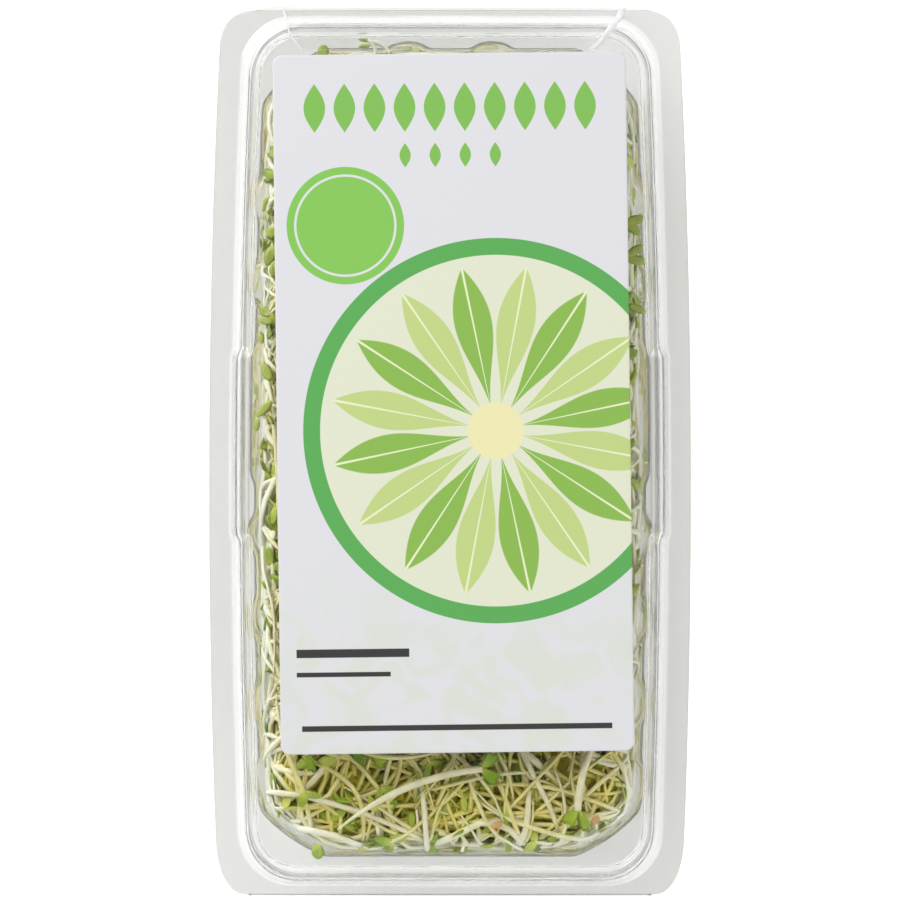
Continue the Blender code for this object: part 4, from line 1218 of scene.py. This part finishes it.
def leaf_row(y, pitch, half_length, half_width, reach):
    """A mask of upright leaves side by side: |x| is under the width times a cosine of y."""
    part = calc("FRACT", calc("MULTIPLY", calc("ADD", label_x, 100.0 * pitch), 1.0 / pitch))
    across = calc("ABSOLUTE", calc("MULTIPLY", calc("SUBTRACT", part, 0.5), pitch))
    up = calc("SUBTRACT", label_y, y)
    bulge = calc("MULTIPLY", calc("COSINE", calc("MULTIPLY", up, 0.5 * math.pi / half_length)),
                 half_width)
    leaf = both(inside(calc("SUBTRACT", across, bulge), 0.0),
                inside(calc("ABSOLUTE", up), half_length))
    return both(leaf, inside(calc("ABSOLUTE", label_x), reach))


for leaves in ((63.0, 6.4, 5.2, 2.3, 32.0), (52.8, 6.4, 2.6, 1.2, 12.8)):
    print_colour = ink(print_colour, leaf_row(*leaves), LIGHT_GREEN)

# %% [markdown]
# A few plain bars end the print. Each point of the sheet also carries a mark that says whether
# it is on the printed side, so the back stays white.

# %% Bars, back and finished label
DARK_INK = (0.03, 0.03, 0.03)
BARS = ((-22.0, -53.0, 12.0, 0.9), (-24.0, -57.5, 10.0, 0.5), (0.0, -69.0, 33.0, 0.6))
for x, y, half_length, half_height in BARS:
    bar = both(inside(calc("ABSOLUTE", calc("SUBTRACT", label_x, x)), half_length),
               inside(calc("ABSOLUTE", calc("SUBTRACT", label_y, y)), half_height))
    print_colour = ink(print_colour, bar, DARK_INK)
gloss = add(print_tree, "ShaderNodeMapRange", {"To Min": 0.34, "To Max": 0.46},
            {"Value": add(print_tree, "ShaderNodeTexNoise", {"Scale": 1.2, "Detail": 4.0},
                          {"Vector": label_place}).outputs["Fac"]})
printed_side = add(print_tree, "ShaderNodeAttribute", attribute_name="printed").outputs["Fac"]
print_colour = ink(WHITE_PAPER, printed_side, print_colour)
feed(print_tree, paper_shader, {"Base Color": print_colour, "Roughness": gloss.outputs[0]})
label_sheet = put_mesh(
    "label_sheet", label_rows, capped(*label_rows.shape[:2]), paper,
    {"printed": np.repeat([0.0, 0.0, 1.0, 1.0, 1.0], label_rows.shape[1])})
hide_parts("label")
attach(label_sheet, "lid")

# %% [markdown]
# ## Seal strip
#
# A strip of clear film seals the opening. It runs from the label's edge over the lid's rim and
# down to the lip, and it is folded narrower towards the label. A few creases run across it: each
# is a narrow bell curve in its height.

# %% Seal strip
FILM = 0.1
STRIP_ROUTE = np.array([
    (85.2, 42.3, -31.6, 31.2), (86.8, 42.3, -33.0, 32.8), (88.5, 42.28, -34.2, 34.2),
    (89.6, 41.5, -34.5, 35.0), (90.9, 40.35, -34.8, 35.8), (91.8, 38.4, -35.1, 36.6),
    (92.8, 35.9, -35.3, 37.1), (93.4, 35.15, -35.5, 37.4), (94.2, 34.98, -35.6, 37.6)])
STRIP_ROWS, GLINT_WIDTH, GLINT_RISE, GLINT_LIFT = 131, 1.7, 0.35, 0.22
CREASE_YS, CREASE_HEIGHT, CREASE_WIDTH = (93.95, 93.35, 92.1), 0.16, 0.16


def film_strip(name, left, right, lift, crown, finish, across):
    """A thin closed strip along the route. Across it, the height is lift + crown * sin(pi u).

    The strip is shaded smooth, so near a cut edge its shading turns sideways over the whole of
    the outermost column. A wide strip therefore needs a narrow column at each edge.
    """
    height = strip_z + creases + lift + FILM + crown * np.sin(np.pi * across)
    top = np.stack([left + (right - left) * across, strip_y + 0 * across, height], axis=-1)
    rows = np.concatenate([top, top[:, ::-1] - np.array([0.0, 0.0, FILM])], axis=1)
    piece = put_mesh(name, rows, capped(*rows.shape[:2]), finish)
    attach(piece, "lid")
    return piece


strip_t = np.linspace(0, len(STRIP_ROUTE) - 1, STRIP_ROWS)
strip_y, strip_z, strip_left, strip_right = (
    np.interp(strip_t, np.arange(len(STRIP_ROUTE)), STRIP_ROUTE[:, k])[:, None] for k in range(4))
creases = sum(CREASE_HEIGHT * np.exp(-((strip_y - y) / CREASE_WIDTH) ** 2) for y in CREASE_YS)
film_columns = np.unique(np.concatenate([np.linspace(0.0, 1.0, 40), [0.002, 0.998]]))
seal_film = film_strip("seal_film", strip_left, strip_right, 0.0, 0.0, clear_film, film_columns)
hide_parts("seal_strip")

# %% [markdown]
# Along its right edge a narrow white strip lies on the film. It is a painted highlight: its
# white stands for the glint of light along the film's edge, and it scatters most light and lets
# a little of it through. A narrower strip of the same painted white lies along the left cut edge.

# %% Folded edge
# Painted highlight: a white film strip that stands for the glint along the film's edges.
painted_glint, glint_tree, glint_shader, _ = new_material("Painted film glint")
glint_streaks = add(glint_tree, "ShaderNodeTexNoise", {"Scale": 240.0, "Detail": 3.0},
                   {"Vector": add(glint_tree, "ShaderNodeTexCoord").outputs["Object"]})
glint_tone = add(glint_tree, "ShaderNodeMapRange", {"To Min": 0.82, "To Max": 0.98},
                {"Value": glint_streaks.outputs["Fac"]})
feed(glint_tree, glint_shader, {"Base Color": glint_tone.outputs[0]})
glint_shader.inputs["Roughness"].default_value = 0.3
glint_shader.inputs["IOR"].default_value = 1.1
glint_shader.inputs["Transmission Weight"].default_value = 0.35
glint_columns = np.linspace(0.0, 1.0, 12)
CUT_WIDTH, CUT_RISE = 0.35, 0.05
film_strip("right_edge_glint", strip_right - GLINT_WIDTH, strip_right - 0.1, GLINT_LIFT, GLINT_RISE,
           painted_glint, glint_columns)
film_strip("cut_edge", strip_left - 0.1, strip_left + CUT_WIDTH, GLINT_LIFT, CUT_RISE,
           painted_glint, glint_columns)

# %% [markdown]
# ## Floor, light and camera
#
# The pack lies on a plain pale floor that glows a little, as a light table does, and is seen
# from straight above, from three metres away. A soft sky lights it evenly, and two large soft
# lamps at the upper left and the lower right give the plastic its bright lines there.

# %% Floor
floor_paint, floor_tree, floor_shader, _ = new_material("Pale floor")
floor_grain = add(floor_tree, "ShaderNodeTexNoise", {"Scale": 8.0, "Detail": 2.0},
                  {"Vector": add(floor_tree, "ShaderNodeTexCoord").outputs["Object"]})
floor_tone = add(floor_tree, "ShaderNodeMapRange", {"To Min": 0.53, "To Max": 0.56},
                 {"Value": floor_grain.outputs["Fac"]})
feed(floor_tree, floor_shader, {"Base Color": floor_tone.outputs[0]})
floor_shader.inputs["Roughness"].default_value = 0.9
floor_shader.inputs["Emission Color"].default_value = (1.0, 1.0, 1.0, 1.0)
floor_shader.inputs["Emission Strength"].default_value = 0.72
FLOOR_HALF, FLOOR_DROP = 1500.0, -0.3
floor_points = np.array([(x * FLOOR_HALF, y * FLOOR_HALF, FLOOR_DROP)
                         for x, y in ((-1, -1), (1, -1), (1, 1), (-1, 1))])
floor = put_mesh("floor", floor_points, [np.array([[0, 1, 2, 3]])], floor_paint)

# %% Light
LAMP_SIZE, LAMP_AWAY, LAMP_UP = 0.9, 0.7, 0.75
world = bpy.data.worlds.new("Soft sky")
world.use_nodes = True
sky = world.node_tree.nodes["Background"]
sky.inputs["Color"].default_value = (1.0, 1.0, 1.0, 1.0)
sky.inputs["Strength"].default_value = 0.58
bpy.context.scene.view_settings.view_transform = "Standard"
bpy.context.scene.world = world


def soft_lamp(name, place, power):
    """A square area lamp that faces the pack."""
    data = bpy.data.lights.new(name, "AREA")
    data.shape = "SQUARE"
    data.size = LAMP_SIZE
    data.energy = power
    lamp = bpy.data.objects.new(name, data)
    lamp.location = place
    lamp.rotation_euler = lamp.location.to_track_quat("Z", "Y").to_euler()
    bpy.context.scene.collection.objects.link(lamp)
    print(name + ":", power, "W,", LAMP_SIZE, "m wide")


soft_lamp("Upper left lamp", (-LAMP_AWAY, LAMP_AWAY, LAMP_UP), 10.6)
soft_lamp("Lower right lamp", (LAMP_AWAY, -LAMP_AWAY, LAMP_UP), 4.8)

# %% Camera
CAMERA_HEIGHT, VIEW_WIDTH, LID_HEIGHT = 3.0, 0.1915, 0.042
camera_data = bpy.data.cameras.new("Camera")
camera_data.sensor_width = 36.0
camera_data.lens = 36.0 * (CAMERA_HEIGHT - LID_HEIGHT) / VIEW_WIDTH
camera_data.clip_start, camera_data.clip_end = 0.05, 10.0
camera = bpy.data.objects.new("Camera", camera_data)
camera.location = (0.0, 0.0, CAMERA_HEIGHT)
bpy.context.scene.collection.objects.link(camera)
bpy.context.scene.camera = camera
print("lens in mm:", round(camera_data.lens, 1))
